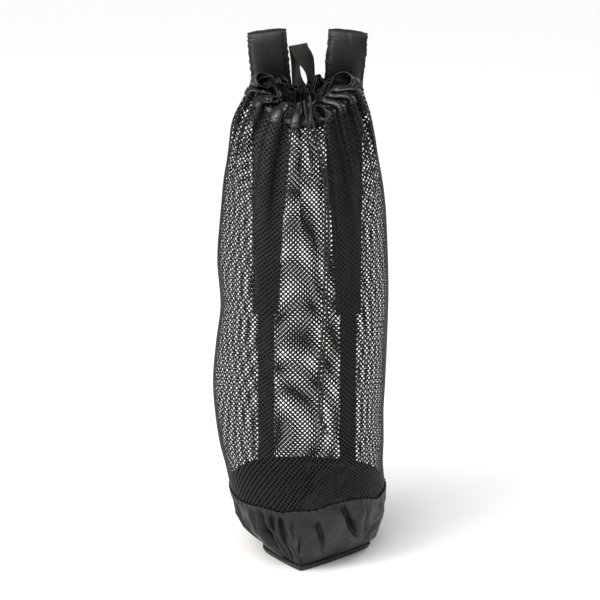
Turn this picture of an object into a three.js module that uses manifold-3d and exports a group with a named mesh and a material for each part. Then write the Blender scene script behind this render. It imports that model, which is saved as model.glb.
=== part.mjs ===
// A drawstring backpack of open net for snorkelling gear, standing full on its nylon base.
// Millimetres, +Z up. The front, where the drawcord hangs, faces -Y, and +X is right of it.
// The origin is on the floor, under the flat of the base panel.

import * as THREE from 'three';
import { mergeVertices } from 'three/addons/utils/BufferGeometryUtils.js';
import Module from 'manifold-3d';

const wasm = await Module();
wasm.setup();

// The sack
const sackWidth = 258;
const sackDepth = 224;
const seamHeight = 103;
const hemHeight = 704;
const netWall = 1.6;
const nylonWall = 1.5;
const seamGap = 0.3;
const restGap = 0.3;

// The base
const panelRise = 9;
const baseCreaseDepth = 9;

// The gathered mouth
const mouthWidth = 60;
const collarRise = 36;
const pleatDepth = 8;
const valleyDepth = 15;

// The shoulder straps and their webbing. The strap rise is above the hem, and the bow is how
// far a strap stands back from where it is sewn on.
const strapRise = 75;
const strapWidth = 56;
const strapThickness = 10;
const strapEdge = 3;
const strapBow = 72;
const strapLean = 7.5;
const webbingWidth = 25;
const webbingThickness = 2;
const webbingEdge = 0.5;

// The grab loop
const loopRise = 51;
const loopSway = 30;

// The drawcord
const cordDiameter = 3;
const cordSides = 8;
const cordSteps = 50;
const knotDiameter = 9;

const fullTurn = Math.PI * 2;

// A turn runs round the sack from 0 at the right through 0.25 at the back, 0.5 at the left and
// 0.75 at the front. In each table left and right are shares of half the sack's width, and
// front and back are shares of half its depth. A corner of 2 is an ellipse, more is squarer
// and less is more of a diamond.

// rise is the share of the way up the net, from the base seam to the collar's hem.
const netSections = [
  { rise: 0.00, left: 0.81, right: 0.98, front: 1.00, back: 0.93, corner: 2.1 },
  { rise: 0.06, left: 0.87, right: 0.96, front: 1.01, back: 0.94, corner: 2.1 },
  { rise: 0.12, left: 0.94, right: 0.96, front: 1.00, back: 0.94, corner: 2.2 },
  { rise: 0.20, left: 0.99, right: 0.96, front: 0.99, back: 0.94, corner: 2.2 },
  { rise: 0.28, left: 1.01, right: 0.99, front: 0.98, back: 0.94, corner: 2.2 },
  { rise: 0.37, left: 0.97, right: 1.01, front: 0.97, back: 0.94, corner: 2.2 },
  { rise: 0.47, left: 0.91, right: 1.01, front: 0.96, back: 0.93, corner: 2.2 },
  { rise: 0.59, left: 0.94, right: 0.99, front: 0.93, back: 0.91, corner: 2.2 },
  { rise: 0.71, left: 0.90, right: 0.97, front: 0.88, back: 0.88, corner: 2.2 },
  { rise: 0.79, left: 0.86, right: 0.92, front: 0.82, back: 0.84, corner: 2.1 },
  { rise: 0.87, left: 0.78, right: 0.83, front: 0.74, back: 0.78, corner: 2.1 },
  { rise: 0.93, left: 0.70, right: 0.74, front: 0.65, back: 0.69, corner: 2.0 },
  { rise: 1.00, left: 0.53, right: 0.62, front: 0.55, back: 0.56, corner: 2.0 },
];

// drop is the share of the way down from the base seam to the floor.
const baseSections = [
  { drop: 0.00, left: 0.81, right: 0.98, front: 1.00, back: 0.93, corner: 2.1 },
  { drop: 0.16, left: 0.79, right: 0.99, front: 1.00, back: 0.93, corner: 2.1 },
  { drop: 0.33, left: 0.76, right: 0.98, front: 0.98, back: 0.92, corner: 1.95 },
  { drop: 0.50, left: 0.70, right: 0.96, front: 0.95, back: 0.90, corner: 1.75 },
  { drop: 0.67, left: 0.61, right: 0.92, front: 0.89, back: 0.86, corner: 1.5 },
  { drop: 0.83, left: 0.51, right: 0.88, front: 0.81, back: 0.80, corner: 1.25 },
  { drop: 0.92, left: 0.48, right: 0.81, front: 0.77, back: 0.75, corner: 1.14 },
  { drop: 1.00, left: 0.45, right: 0.74, front: 0.72, back: 0.70, corner: 1.08 },
];

// out is the share of the way from the mouth's rim out to the hem. The heights are shares of
// the collar's rise above the hem at the sides, and the pleat is a share of the pleat depth.
const collarRings = [
  { out: 1.00, left: 0.00, right: 0.00, front: -1.00, back: -0.35, pleat: 1.00 },
  { out: 0.82, left: 0.36, right: 0.34, front: -0.76, back: -0.12, pleat: 1.00 },
  { out: 0.56, left: 0.54, right: 0.54, front: -0.50, back: 0.02, pleat: 0.95 },
  { out: 0.26, left: 0.28, right: 0.30, front: -0.36, back: 0.02, pleat: 0.80 },
  { out: 0.00, left: -0.30, right: -0.26, front: -0.46, back: -0.16, pleat: 0.62 },
  { out: 0.05, left: -0.80, right: -0.76, front: -0.90, back: -0.60, pleat: 0.50 },
];

const collarSteps = collarRings.map((ring, index) => ({ ...ring, step: index }));

// One row for each pleat round the mouth: the bearing of its ridge in degrees, how far the
// ridge stands out and the dip after it sinks in, as shares of the pleat depth, and the share
// of the net's height that it runs down.
const pleats = [
  { bearing: 4, ridge: 1.00, dip: 0.85, run: 0.20 },
  { bearing: 27, ridge: 0.80, dip: 0.70, run: 0.24 },
  { bearing: 50, ridge: 0.70, dip: 0.70, run: 0.28 },
  { bearing: 70, ridge: 0.60, dip: 0.60, run: 0.30 },
  { bearing: 90, ridge: 0.60, dip: 0.60, run: 0.30 },
  { bearing: 110, ridge: 0.60, dip: 0.70, run: 0.28 },
  { bearing: 131, ridge: 0.70, dip: 0.70, run: 0.24 },
  { bearing: 153, ridge: 0.90, dip: 0.80, run: 0.20 },
  { bearing: 176, ridge: 1.00, dip: 0.90, run: 0.18 },
  { bearing: 199, ridge: 0.90, dip: 0.80, run: 0.22 },
  { bearing: 218, ridge: 1.00, dip: 0.90, run: 0.28 },
  { bearing: 236, ridge: 1.00, dip: 0.90, run: 0.30 },
  { bearing: 253, ridge: 0.95, dip: 0.80, run: 0.34 },
  { bearing: 270, ridge: 0.90, dip: 0.85, run: 0.38 },
  { bearing: 287, ridge: 1.10, dip: 1.00, run: 0.42 },
  { bearing: 304, ridge: 1.00, dip: 0.90, run: 0.40 },
  { bearing: 322, ridge: 0.95, dip: 0.90, run: 0.34 },
  { bearing: 342, ridge: 0.95, dip: 0.90, run: 0.26 },
];
const samplesPerPleat = 4;

// The long valley down the front of the net, which the cord hangs in: its bearing and half
// width in degrees, and the shares of the net's height where it starts, is deepest and ends.
const frontValley = { bearing: 288, halfWidth: 13, from: 0.22, deepest: 0.66, to: 1.15 };

// One row for each crease in the base band: its bearing at the seam, how far round it leans
// by the floor and its half width, in degrees, and its depth as a share of the crease depth.
const baseCreases = [
  { bearing: 20, lean: 4, halfWidth: 9, depth: 0.6 },
  { bearing: 62, lean: -6, halfWidth: 8, depth: 0.7 },
  { bearing: 104, lean: 5, halfWidth: 9, depth: 0.6 },
  { bearing: 146, lean: -4, halfWidth: 8, depth: 0.7 },
  { bearing: 186, lean: 8, halfWidth: 8, depth: 0.5 },
  { bearing: 229, lean: 26, halfWidth: 7, depth: 0.9 },
  { bearing: 251, lean: 14, halfWidth: 7, depth: 0.9 },
  { bearing: 276, lean: 6, halfWidth: 7, depth: 0.8 },
  { bearing: 303, lean: 8, halfWidth: 8, depth: 1.0 },
  { bearing: 333, lean: -4, halfWidth: 8, depth: 0.6 },
];

// height is a share of the hem's height, and rise, behind and lean are shares of the strap's
// rise, bow and lean.
const strapPath = [
  { height: 1.00, rise: -0.76, behind: 0.00, lean: 0.0 },
  { height: 1.00, rise: -0.48, behind: 0.00, lean: 0.0 },
  { height: 1.00, rise: -0.20, behind: 0.00, lean: 0.0 },
  { height: 1.00, rise: 0.25, behind: -0.05, lean: 0.5 },
  { height: 1.00, rise: 0.66, behind: -0.03, lean: 0.9 },
  { height: 1.00, rise: 0.87, behind: 0.04, lean: 1.0 },
  { height: 1.00, rise: 0.87, behind: 0.16, lean: 1.0 },
  { height: 1.00, rise: 0.62, behind: 0.26, lean: 0.8 },
  { height: 1.00, rise: 0.18, behind: 0.36, lean: 0.4 },
  { height: 0.95, rise: 0.00, behind: 0.50, lean: 0.3 },
  { height: 0.84, rise: 0.00, behind: 0.78, lean: 0.5 },
  { height: 0.70, rise: 0.00, behind: 0.97, lean: 1.0 },
  { height: 0.57, rise: 0.00, behind: 1.00, lean: 1.4 },
  { height: 0.46, rise: 0.00, behind: 0.93, lean: 1.6 },
];
const padWaist = 0.7;

// The webbing's way down from the end of the pad to the base, in the same shares.
const webbingPath = [
  { height: 0.36, behind: 0.84 },
  { height: 0.26, behind: 0.72 },
  { height: 0.18, behind: 0.58 },
];
const webbingSeat = [0.95, 0.78, 0.62];

// The middle of each strap where it is sewn on, as a share of half the sack's width.
const strapAnchors = { left: -0.31, right: 0.475 };
const strapMiddle = (strapAnchors.left + strapAnchors.right) * sackWidth / 4;

// rise is a share of the loop's rise above the hem, across and behind are shares of its sway,
// and twist is in degrees.
const loopPath = [
  { rise: -0.55, across: 0.34, behind: 0.00, twist: 0 },
  { rise: -0.35, across: 0.34, behind: 0.00, twist: 0 },
  { rise: -0.12, across: 0.33, behind: 0.01, twist: 0 },
  { rise: 0.35, across: 0.16, behind: 0.08, twist: 40 },
  { rise: 0.75, across: -0.18, behind: 0.03, twist: 30 },
  { rise: 0.98, across: -0.40, behind: 0.20, twist: 8 },
  { rise: 0.75, across: -0.48, behind: 0.42, twist: -12 },
  { rise: 0.35, across: -0.42, behind: 0.38, twist: -24 },
  { rise: -0.12, across: -0.30, behind: 0.01, twist: 0 },
  { rise: -0.35, across: -0.29, behind: 0.00, twist: 0 },
  { rise: -0.55, across: -0.29, behind: 0.00, twist: 0 },
];

// Where each strand of the drawcord runs: out over the front of the mouth's rim, down in the
// valley of the net, and into the knot.
const cordRoutes = {
  left: [
    [5.6, -30, 692.8], [5.8, -37, 692.8], [6.2, -44, 692], [6.8, -50.5, 689.2],
    [7.8, -56.5, 684], [9.2, -60.5, 677], [11, -62.5, 669.5], [14, -65, 661],
    [18.5, -68, 651.5], [23, -71.5, 641], [28, -76, 620], [32.6, -79.5, 597],
    [34.8, -82.4, 562], [35.2, -84.6, 527], [35, -87.2, 490], [34.5, -90.3, 455],
    [33.7, -93.5, 425], [32.6, -97.2, 395], [30.8, -101.2, 368], [28.2, -104.9, 335],
    [26.6, -108.4, 298], [26.9, -109.8, 277], [28.1, -112, 259.3],
  ],
  right: [
    [12.6, -29, 697], [13, -35.5, 700.3], [13.4, -42.5, 701.4], [14, -49.5, 700],
    [14.6, -55.5, 695], [15.3, -60, 687.5], [16.3, -62.8, 679], [18, -64.8, 670.5],
    [21, -67.5, 661], [24.5, -70.5, 650], [28.2, -73.2, 638], [33.2, -76.4, 618],
    [37.2, -78.4, 596], [39.3, -80.6, 562], [39.7, -83.8, 527], [39.5, -86.1, 490],
    [39, -89, 455], [38.2, -92.2, 425], [37.1, -96, 395], [35.6, -100, 368],
    [33.8, -103.8, 335], [32.2, -107.2, 298], [31.8, -109.4, 277], [31.5, -112, 259.3],
  ],
};
const knotPlace = [29.7, -112.3, 253];
const tailRoutes = [
  [[29, -112, 250], [29.6, -111.4, 244], [31.6, -110.2, 237], [33.4, -110, 229]],
  [[30.6, -112, 250], [33, -111, 244], [36.2, -109.7, 237], [38.4, -109.2, 229]],
];

// The row of a table at a place along it, on a smooth curve through its rows.
function rowAt(table, column, place) {
  let after = table.findIndex((row) => row[column] > place);
  if (after === -1) {
    after = table.length - 1;
  }
  after = Math.max(after, 1);
  const before = after - 1;
  const start = table[before];
  const end = table[after];
  const share = (place - start[column]) / (end[column] - start[column]);
  const earlier = table[Math.max(before - 1, 0)];
  const later = table[Math.min(after + 1, table.length - 1)];
  const row = {};
  for (const name of Object.keys(start)) {
    row[name] = catmullRom(earlier[name], start[name], end[name], later[name], share);
  }
  return row;
}

function catmullRom(a, b, c, d, share) {
  const slopeIn = (c - a) / 2;
  const slopeOut = (d - b) / 2;
  const square = share * share;
  const cube = square * share;
  return (2 * cube - 3 * square + 1) * b + (cube - 2 * square + share) * slopeIn
    + (3 * square - 2 * cube) * c + (cube - square) * slopeOut;
}

// A value that differs between the four sides, blended smoothly round the sack.
function roundSack(row, turn) {
  const across = Math.cos(turn * fullTurn);
  const along = Math.sin(turn * fullTurn);
  return across ** 2 * (across < 0 ? row.left : row.right)
    + along ** 2 * (along < 0 ? row.front : row.back);
}

// The plan of a section of the sack at a turn.
function outline(section, turn) {
  const across = Math.cos(turn * fullTurn);
  const along = Math.sin(turn * fullTurn);
  const power = 2 / section.corner;
  const halfWidth = (across < 0 ? section.left : section.right) * sackWidth / 2;
  const halfDepth = (along < 0 ? section.front : section.back) * sackDepth / 2;
  return [
    Math.sign(across) * Math.abs(across) ** power * halfWidth,
    Math.sign(along) * Math.abs(along) ** power * halfDepth,
  ];
}

// How far the pleats stand out at a turn, as a share of the pleat depth, and how far they run.
function pleatAt(turn) {
  const bearing = ((turn * 360 - pleats[0].bearing) % 360 + 360) % 360;
  let index = pleats.length - 1;
  while (pleats[index].bearing - pleats[0].bearing > bearing) {
    index -= 1;
  }
  const here = pleats[index];
  const next = pleats[(index + 1) % pleats.length];
  const start = here.bearing - pleats[0].bearing;
  const end = index + 1 < pleats.length ? next.bearing - pleats[0].bearing : 360;
  const share = (bearing - start) / (end - start);
  const ridge = share < 0.5 ? here.ridge : next.ridge;
  const wave = Math.cos(share * fullTurn);
  return {
    out: (ridge + here.dip) / 2 * wave + (ridge - here.dip) / 2,
    run: THREE.MathUtils.lerp(here.run, next.run, share),
  };
}

// The turns of the columns that every wall of the sack is built on: each pleat's ridge,
// flank, dip and flank.
function columnTurns() {
  const turns = [];
  pleats.forEach((pleat, index) => {
    const last = index === pleats.length - 1;
    const next = last ? pleats[0].bearing + 360 : pleats[index + 1].bearing;
    for (let sample = 0; sample < samplesPerPleat; sample += 1) {
      const share = sample / samplesPerPleat;
      turns.push(THREE.MathUtils.lerp(pleat.bearing, next, share) / 360);
    }
  });
  return turns;
}

function bump(offset, halfWidth) {
  return Math.exp(-((offset / halfWidth) ** 2));
}

function hemAt(turn) {
  return hemHeight + roundSack(collarRings[0], turn) * collarRise;
}

// The smooth net, before its pleats, at a turn and a rise.
function smoothNet(turn, rise) {
  const section = rowAt(netSections, 'rise', rise);
  const [x, y] = outline(section, turn);
  const bottom = seamHeight + seamGap;
  const top = hemAt(turn) - seamGap;
  return new THREE.Vector3(x, y, THREE.MathUtils.lerp(bottom, top, rise));
}

// The front valley's depth at a turn and a share of the net's height.
function valleyAt(turn, rise) {
  const start = THREE.MathUtils.smoothstep(rise, frontValley.from, frontValley.deepest);
  const end = 1 - THREE.MathUtils.smoothstep(rise, frontValley.deepest, frontValley.to);
  const offset = turn * 360 - frontValley.bearing;
  return valleyDepth * Math.min(start, end) * bump(offset, frontValley.halfWidth);
}

function netRelief(turn, rise) {
  const pleat = pleatAt(turn);
  const fade = THREE.MathUtils.smoothstep(rise, 1 - pleat.run, 1);
  return pleat.out * pleatDepth * fade - valleyAt(turn, rise);
}

function smoothBase(turn, drop) {
  const section = rowAt(baseSections, 'drop', drop);
  const [x, y] = outline(section, turn);
  return new THREE.Vector3(x, y, seamHeight * (1 - drop));
}

function baseRelief(turn, drop) {
  const fade = Math.sin(Math.PI * Math.min(drop / 0.9, 1)) ** 0.7;
  let relief = 0;
  for (const crease of baseCreases) {
    const offset = turn * 360 - crease.bearing - crease.lean * drop;
    relief -= crease.depth * bump(offset, crease.halfWidth);
  }
  return relief * baseCreaseDepth * fade;
}

// The smooth collar at a turn, from its hem at 0 over its crest to its throat at 1.
function smoothCollar(turn, along) {
  const hem = netSections[netSections.length - 1];
  const [hemX, hemY] = outline(hem, turn);
  const rimX = Math.cos(turn * fullTurn) * mouthWidth / 2;
  const rimY = Math.sin(turn * fullTurn) * mouthWidth / 2;
  const ring = rowAt(collarSteps, 'step', along * (collarRings.length - 1));
  return new THREE.Vector3(
    THREE.MathUtils.lerp(rimX, hemX, ring.out),
    THREE.MathUtils.lerp(rimY, hemY, ring.out),
    hemHeight + roundSack(ring, turn) * collarRise,
  );
}

function collarRelief(turn, along) {
  const ring = rowAt(collarSteps, 'step', along * (collarRings.length - 1));
  return pleatAt(turn).out * pleatDepth * ring.pleat - valleyAt(turn, 1 + along * 0.5);
}

// A surface with its relief. The relief runs level where lift is 0, as at every seam, and
// square to the smooth surface where lift is 1.
function withRelief(smooth, relief, lift) {
  const step = 0.002;
  return (turn, along) => {
    const point = smooth(turn, along);
    const round = smooth(turn + step, along).sub(smooth(turn - step, along));
    const outward = new THREE.Vector3(round.y, -round.x, 0).normalize();
    const low = Math.max(along - step, 0);
    const high = Math.min(along + step, 1);
    const up = smooth(turn, high).sub(smooth(turn, low));
    outward.lerp(round.cross(up).normalize(), lift(along)).normalize();
    return point.addScaledVector(outward, relief(turn, along));
  };
}

const netSurface = withRelief(smoothNet, netRelief, () => 0);
const baseSurface = withRelief(smoothBase, baseRelief, () => 0);
const collarSurface = withRelief(smoothCollar, collarRelief,
  (along) => THREE.MathUtils.smoothstep(along, 0, 0.4));

// Rings of points on a surface, one for each place along it.
function ringsOf(surface, turns, places) {
  return places.map((place) => turns.map((turn) => surface(turn, place)));
}

// The same rings moved inwards by a wall's thickness: level at the first and last ring, and
// square to the surface between them.
function innerRings(rings, wall) {
  const last = rings.length - 1;
  return rings.map((ring, row) => ring.map((point, column) => {
    const count = ring.length;
    const round = ring[(column + 1) % count].clone().sub(ring[(column + count - 1) % count]);
    const up = rings[Math.min(row + 1, last)][column].clone()
      .sub(rings[Math.max(row - 1, 0)][column]);
    const level = row === 0 || row === last;
    const inward = level ? new THREE.Vector3(-round.y, round.x, 0) : up.cross(round);
    return point.clone().addScaledVector(inward.normalize(), wall);
  }));
}

function meshOf(name, positions, faces, material) {
  const geometry = new THREE.BufferGeometry();
  geometry.setAttribute('position', new THREE.Float32BufferAttribute(positions, 3));
  geometry.setIndex(faces);
  geometry.computeVertexNormals();
  const mesh = new THREE.Mesh(geometry, material);
  mesh.name = name;
  return mesh;
}

// A closed wall between outer rings and inner rings. The rings run from the bottom up.
function wallMesh(name, outer, inner, material) {
  const columns = outer[0].length;
  const rows = outer.length;
  const positions = [...outer, ...inner].flat().flatMap((point) => point.toArray());
  const faces = [];
  const outerIndex = (row, column) => row * columns + column % columns;
  const innerIndex = (row, column) => (rows + row) * columns + column % columns;
  for (let column = 0; column < columns; column += 1) {
    for (let row = 0; row < rows - 1; row += 1) {
      addQuad(faces, outerIndex(row, column), outerIndex(row, column + 1),
        outerIndex(row + 1, column + 1), outerIndex(row + 1, column));
      addQuad(faces, innerIndex(row, column), innerIndex(row + 1, column),
        innerIndex(row + 1, column + 1), innerIndex(row, column + 1));
    }
    addQuad(faces, outerIndex(0, column), innerIndex(0, column),
      innerIndex(0, column + 1), outerIndex(0, column + 1));
    const top = rows - 1;
    addQuad(faces, outerIndex(top, column), outerIndex(top, column + 1),
      innerIndex(top, column + 1), innerIndex(top, column));
  }
  return meshOf(name, positions, faces, material);
}

function addQuad(faces, a, b, c, d) {
  faces.push(a, b, c, a, c, d);
}

// A closed dish: outer rings from its edge down to its flat, and inner rings over them, both
// filled to the middle.
function dishMesh(name, outer, inner, material) {
  const columns = outer[0].length;
  const rows = outer.length;
  const middle = (ring) => ring.reduce((sum, point) => sum.add(point), new THREE.Vector3())
    .divideScalar(ring.length);
  const points = [...outer, ...inner].flat();
  points.push(middle(outer[rows - 1]), middle(inner[rows - 1]));
  const positions = points.flatMap((point) => point.toArray());
  const faces = [];
  const outerIndex = (row, column) => row * columns + column % columns;
  const innerIndex = (row, column) => (rows + row) * columns + column % columns;
  const outerMiddle = 2 * rows * columns;
  const innerMiddle = outerMiddle + 1;
  for (let column = 0; column < columns; column += 1) {
    for (let row = 0; row < rows - 1; row += 1) {
      addQuad(faces, outerIndex(row, column), outerIndex(row + 1, column),
        outerIndex(row + 1, column + 1), outerIndex(row, column + 1));
      addQuad(faces, innerIndex(row, column), innerIndex(row, column + 1),
        innerIndex(row + 1, column + 1), innerIndex(row + 1, column));
    }
    addQuad(faces, outerIndex(0, column), outerIndex(0, column + 1),
      innerIndex(0, column + 1), innerIndex(0, column));
    const last = rows - 1;
    faces.push(outerIndex(last, column), outerMiddle, outerIndex(last, column + 1));
    faces.push(innerIndex(last, column), innerIndex(last, column + 1), innerMiddle);
  }
  return meshOf(name, positions, faces, material);
}

// A flat band swept along a curve. widthAt gives the direction across the band.
function bandMesh(name, curve, steps, size, widthAt, material) {
  const halfWidth = size.width / 2;
  const halfThick = size.thickness / 2;
  const edge = size.edge;
  const section = [
    [halfWidth, -halfThick + edge], [halfWidth, halfThick - edge],
    [halfWidth - edge, halfThick], [-halfWidth + edge, halfThick],
    [-halfWidth, halfThick - edge], [-halfWidth, -halfThick + edge],
    [-halfWidth + edge, -halfThick], [halfWidth - edge, -halfThick],
  ];
  const count = section.length;
  const positions = [];
  for (let step = 0; step <= steps; step += 1) {
    const share = step / steps;
    const centre = curve.getPoint(share);
    const forward = curve.getTangent(share);
    const across = widthAt(share).clone();
    across.addScaledVector(forward, -across.dot(forward)).normalize();
    const through = forward.clone().cross(across);
    const narrow = size.taper ? size.taper(share) : 1;
    for (const [x, y] of section) {
      const point = centre.clone().addScaledVector(across, x * narrow);
      positions.push(...point.addScaledVector(through, y).toArray());
    }
  }
  const faces = [];
  for (let step = 0; step < steps; step += 1) {
    for (let side = 0; side < count; side += 1) {
      const next = (side + 1) % count;
      addQuad(faces, step * count + side, step * count + next,
        (step + 1) * count + next, (step + 1) * count + side);
    }
  }
  for (let side = 1; side < count - 1; side += 1) {
    faces.push(0, side + 1, side);
    const end = steps * count;
    faces.push(end, end + side, end + side + 1);
  }
  return meshOf(name, positions, faces, material);
}

// The points of some meshes' backs inside a patch: their corners, and where a grid of level
// lines from behind meets them.
function backPoints(meshes, patch) {
  const inPatch = (point) => Math.abs(point.x - patch.x) <= patch.width / 2
    && point.z >= patch.lowest && point.z <= patch.highest && point.y > 0;
  const points = [];
  for (const mesh of meshes) {
    const corners = mesh.geometry.getAttribute('position');
    for (let index = 0; index < corners.count; index += 1) {
      points.push(new THREE.Vector3().fromBufferAttribute(corners, index));
    }
  }
  const caster = new THREE.Raycaster();
  const forward = new THREE.Vector3(0, -1, 0);
  for (const across of evenShares(16)) {
    for (const up of evenShares(16)) {
      const x = patch.x + (across - 0.5) * patch.width;
      const z = THREE.MathUtils.lerp(patch.lowest, patch.highest, up);
      caster.set(new THREE.Vector3(x, sackDepth * 2, z), forward);
      points.push(...caster.intersectObjects(meshes).map((hit) => hit.point));
    }
  }
  return points.filter(inPatch);
}

// A straight line up the sack's back that something flat rests on, over a patch. It gives how
// far back the middle of its thickness is at a height.
function restingLine(meshes, patch, thickness) {
  const points = backPoints(meshes, patch);
  const reach = (z) => Math.max(...points.filter((point) => (
    Math.abs(point.z - z) <= thickness + webbingThickness)).map((point) => point.y));
  const slope = (reach(patch.highest) - reach(patch.lowest)) / (patch.highest - patch.lowest);
  const bulge = Math.max(...points.map((point) => point.y - slope * (point.z - patch.lowest)));
  const lift = (restGap + thickness / 2) * Math.hypot(1, slope);
  return (z) => bulge + slope * (z - patch.lowest) + lift;
}

function evenShares(count) {
  return Array.from({ length: count + 1 }, (_, index) => index / count);
}

const materials = {
  net: new THREE.MeshStandardMaterial({ color: 0x2b2a29, roughness: 0.7, metalness: 0 }),
  nylon: new THREE.MeshStandardMaterial({ color: 0x1f1e1f, roughness: 0.45, metalness: 0 }),
  base: new THREE.MeshStandardMaterial({ color: 0x2f2d2e, roughness: 0.55, metalness: 0 }),
  strap: new THREE.MeshStandardMaterial({ color: 0x232223, roughness: 0.6, metalness: 0 }),
  webbing: new THREE.MeshStandardMaterial({ color: 0x2e2d2a, roughness: 0.75, metalness: 0 }),
  cord: new THREE.MeshStandardMaterial({ color: 0x2d2a26, roughness: 0.8, metalness: 0 }),
};

function netSack(turns) {
  // The rows crowd towards the top, where the pleats are.
  const places = evenShares(11).map((share) => 1 - (1 - share) ** 1.35);
  const outer = ringsOf(netSurface, turns, places);
  return wallMesh('mesh_sack', outer, innerRings(outer, netWall), materials.net);
}

function collar(turns) {
  const outer = ringsOf(collarSurface, turns, evenShares(7));
  return wallMesh('drawstring_collar', outer, innerRings(outer, nylonWall), materials.nylon);
}

function baseBand(turns) {
  const lowest = 1 - (panelRise + seamGap) / seamHeight;
  const places = evenShares(5).map((share) => lowest * (1 - share));
  const outer = ringsOf(baseSurface, turns, places);
  return wallMesh('base_band', outer, innerRings(outer, nylonWall), materials.base);
}

function basePanel(turns) {
  const highest = 1 - panelRise / seamHeight;
  const places = evenShares(2).map((share) => THREE.MathUtils.lerp(highest, 1, share));
  const outer = ringsOf(smoothBase, turns, places);
  const rim = innerRings([...outer].reverse(), nylonWall).reverse();
  const inner = rim.map((ring, row) => ring.map((point, column) => (
    point.setZ(outer[row][column].z + (row > 0 ? nylonWall : 0)))));
  return dishMesh('base_panel', outer, inner, materials.base);
}

function strapPieces(side, sack) {
  const anchorX = strapAnchors[side] * sackWidth / 2;
  const outward = Math.sign(anchorX);
  const heightOf = (row) => hemHeight * row.height + strapRise * row.rise;
  const [foot, , top] = strapPath;
  const line = restingLine(sack, {
    x: anchorX,
    width: strapWidth,
    lowest: heightOf(foot) - strapEdge,
    highest: heightOf(top),
  }, strapThickness);
  const place = (row) => {
    const z = heightOf(row);
    const x = anchorX + outward * strapLean * row.lean;
    const sewnAt = line(Math.min(z, heightOf(top)));
    const seat = row.behind === 0 ? sewnAt : line(heightOf(top));
    return new THREE.Vector3(x, seat + strapBow * row.behind, z);
  };
  const padCurve = new THREE.CatmullRomCurve3(strapPath.map(place));
  const across = new THREE.Vector3(1, 0, 0);
  const waist = (share) => 1 - (1 - padWaist) * THREE.MathUtils.smoothstep(share, 0.7, 1);
  const pad = bandMesh(`shoulder_strap_${side}`, padCurve, 24, {
    width: strapWidth, thickness: strapThickness, edge: strapEdge, taper: waist,
  }, () => across, materials.strap);

  const last = strapPath[strapPath.length - 1];
  const footX = place(last).x;
  const seatHeights = webbingSeat.map((share) => seamHeight * share);
  const baseLine = restingLine(sack, {
    x: footX,
    width: webbingWidth,
    lowest: seatHeights[seatHeights.length - 1] - webbingThickness,
    highest: seatHeights[0] + webbingThickness,
  }, webbingThickness);
  const start = padCurve.getPoint(1).addScaledVector(padCurve.getTangent(1), seamGap);
  const free = webbingPath.map((row) => place({ ...row, rise: 0, lean: last.lean }));
  const seated = seatHeights.map((z) => new THREE.Vector3(footX, baseLine(z), z));
  const webbing = bandMesh(`strap_webbing_${side}`,
    new THREE.CatmullRomCurve3([start, ...free, ...seated]), 12,
    { width: webbingWidth, thickness: webbingThickness, edge: webbingEdge },
    () => across, materials.webbing);
  return [pad, webbing];
}

function grabLoop(sack) {
  const heightOf = (row) => hemHeight + loopRise * row.rise;
  const acrossOf = (row) => strapMiddle + loopSway * row.across;
  const [foot, , top] = loopPath;
  const ends = [foot, loopPath[loopPath.length - 1]];
  const lines = ends.map((row) => restingLine(sack, {
    x: acrossOf(row),
    width: webbingWidth,
    lowest: heightOf(foot) - webbingThickness,
    highest: heightOf(top),
  }, webbingThickness));
  const place = (row, index) => {
    const firstLeg = index < loopPath.length / 2;
    const sewnAt = lines[firstLeg ? 0 : 1](Math.min(heightOf(row), heightOf(top)));
    const stacked = firstLeg ? 0 : webbingThickness + restGap;
    const y = sewnAt + stacked + loopSway * row.behind;
    return new THREE.Vector3(acrossOf(row), y, heightOf(row));
  };
  const curve = new THREE.CatmullRomCurve3(loopPath.map(place));
  const widthAt = (share) => {
    const step = share * (loopPath.length - 1);
    const row = Math.min(Math.floor(step), loopPath.length - 2);
    const twist = THREE.MathUtils.lerp(loopPath[row].twist, loopPath[row + 1].twist, step - row);
    const angle = THREE.MathUtils.degToRad(twist);
    return new THREE.Vector3(Math.cos(angle), Math.sin(angle), 0);
  };
  return bandMesh('grab_loop', curve, 26, {
    width: webbingWidth, thickness: webbingThickness, edge: webbingEdge,
  }, widthAt, materials.webbing);
}

function cordTube(route, steps) {
  const rim = Array.from({ length: cordSides }, (_, side) => {
    const angle = (side / cordSides) * fullTurn;
    return new THREE.Vector2(Math.cos(angle), Math.sin(angle))
      .multiplyScalar(cordDiameter / 2);
  });
  const points = route.map((point) => new THREE.Vector3(...point));
  return new THREE.ExtrudeGeometry(new THREE.Shape(rim), {
    extrudePath: new THREE.CatmullRomCurve3(points), steps, bevelEnabled: false,
  });
}

function drawCord(side) {
  const mesh = new THREE.Mesh(cordTube(cordRoutes[side], cordSteps), materials.cord);
  mesh.name = `draw_cord_${side}`;
  return mesh;
}

// A closed geometry as a manifold solid, with its shared corners merged.
function solidOf(geometry) {
  const bare = geometry.index ? geometry.toNonIndexed() : geometry;
  bare.deleteAttribute('normal');
  bare.deleteAttribute('uv');
  const merged = mergeVertices(bare, 1e-3);
  return new wasm.Manifold(new wasm.Mesh({
    numProp: 3,
    vertProperties: merged.getAttribute('position').array,
    triVerts: new Uint32Array(merged.index.array),
  }));
}

// The knot that joins the two strands, with its two frayed tails.
function cordKnot() {
  const ball = new THREE.SphereGeometry(knotDiameter / 2, 12, 8);
  ball.scale(1, 0.95, 1.3);
  ball.translate(...knotPlace);
  const pieces = tailRoutes.map((route) => solidOf(cordTube(route, 5)));
  const joined = pieces.reduce((knot, tail) => knot.add(tail), solidOf(ball)).getMesh();
  return meshOf('cord_knot', joined.vertProperties, Array.from(joined.triVerts),
    materials.cord);
}

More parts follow.
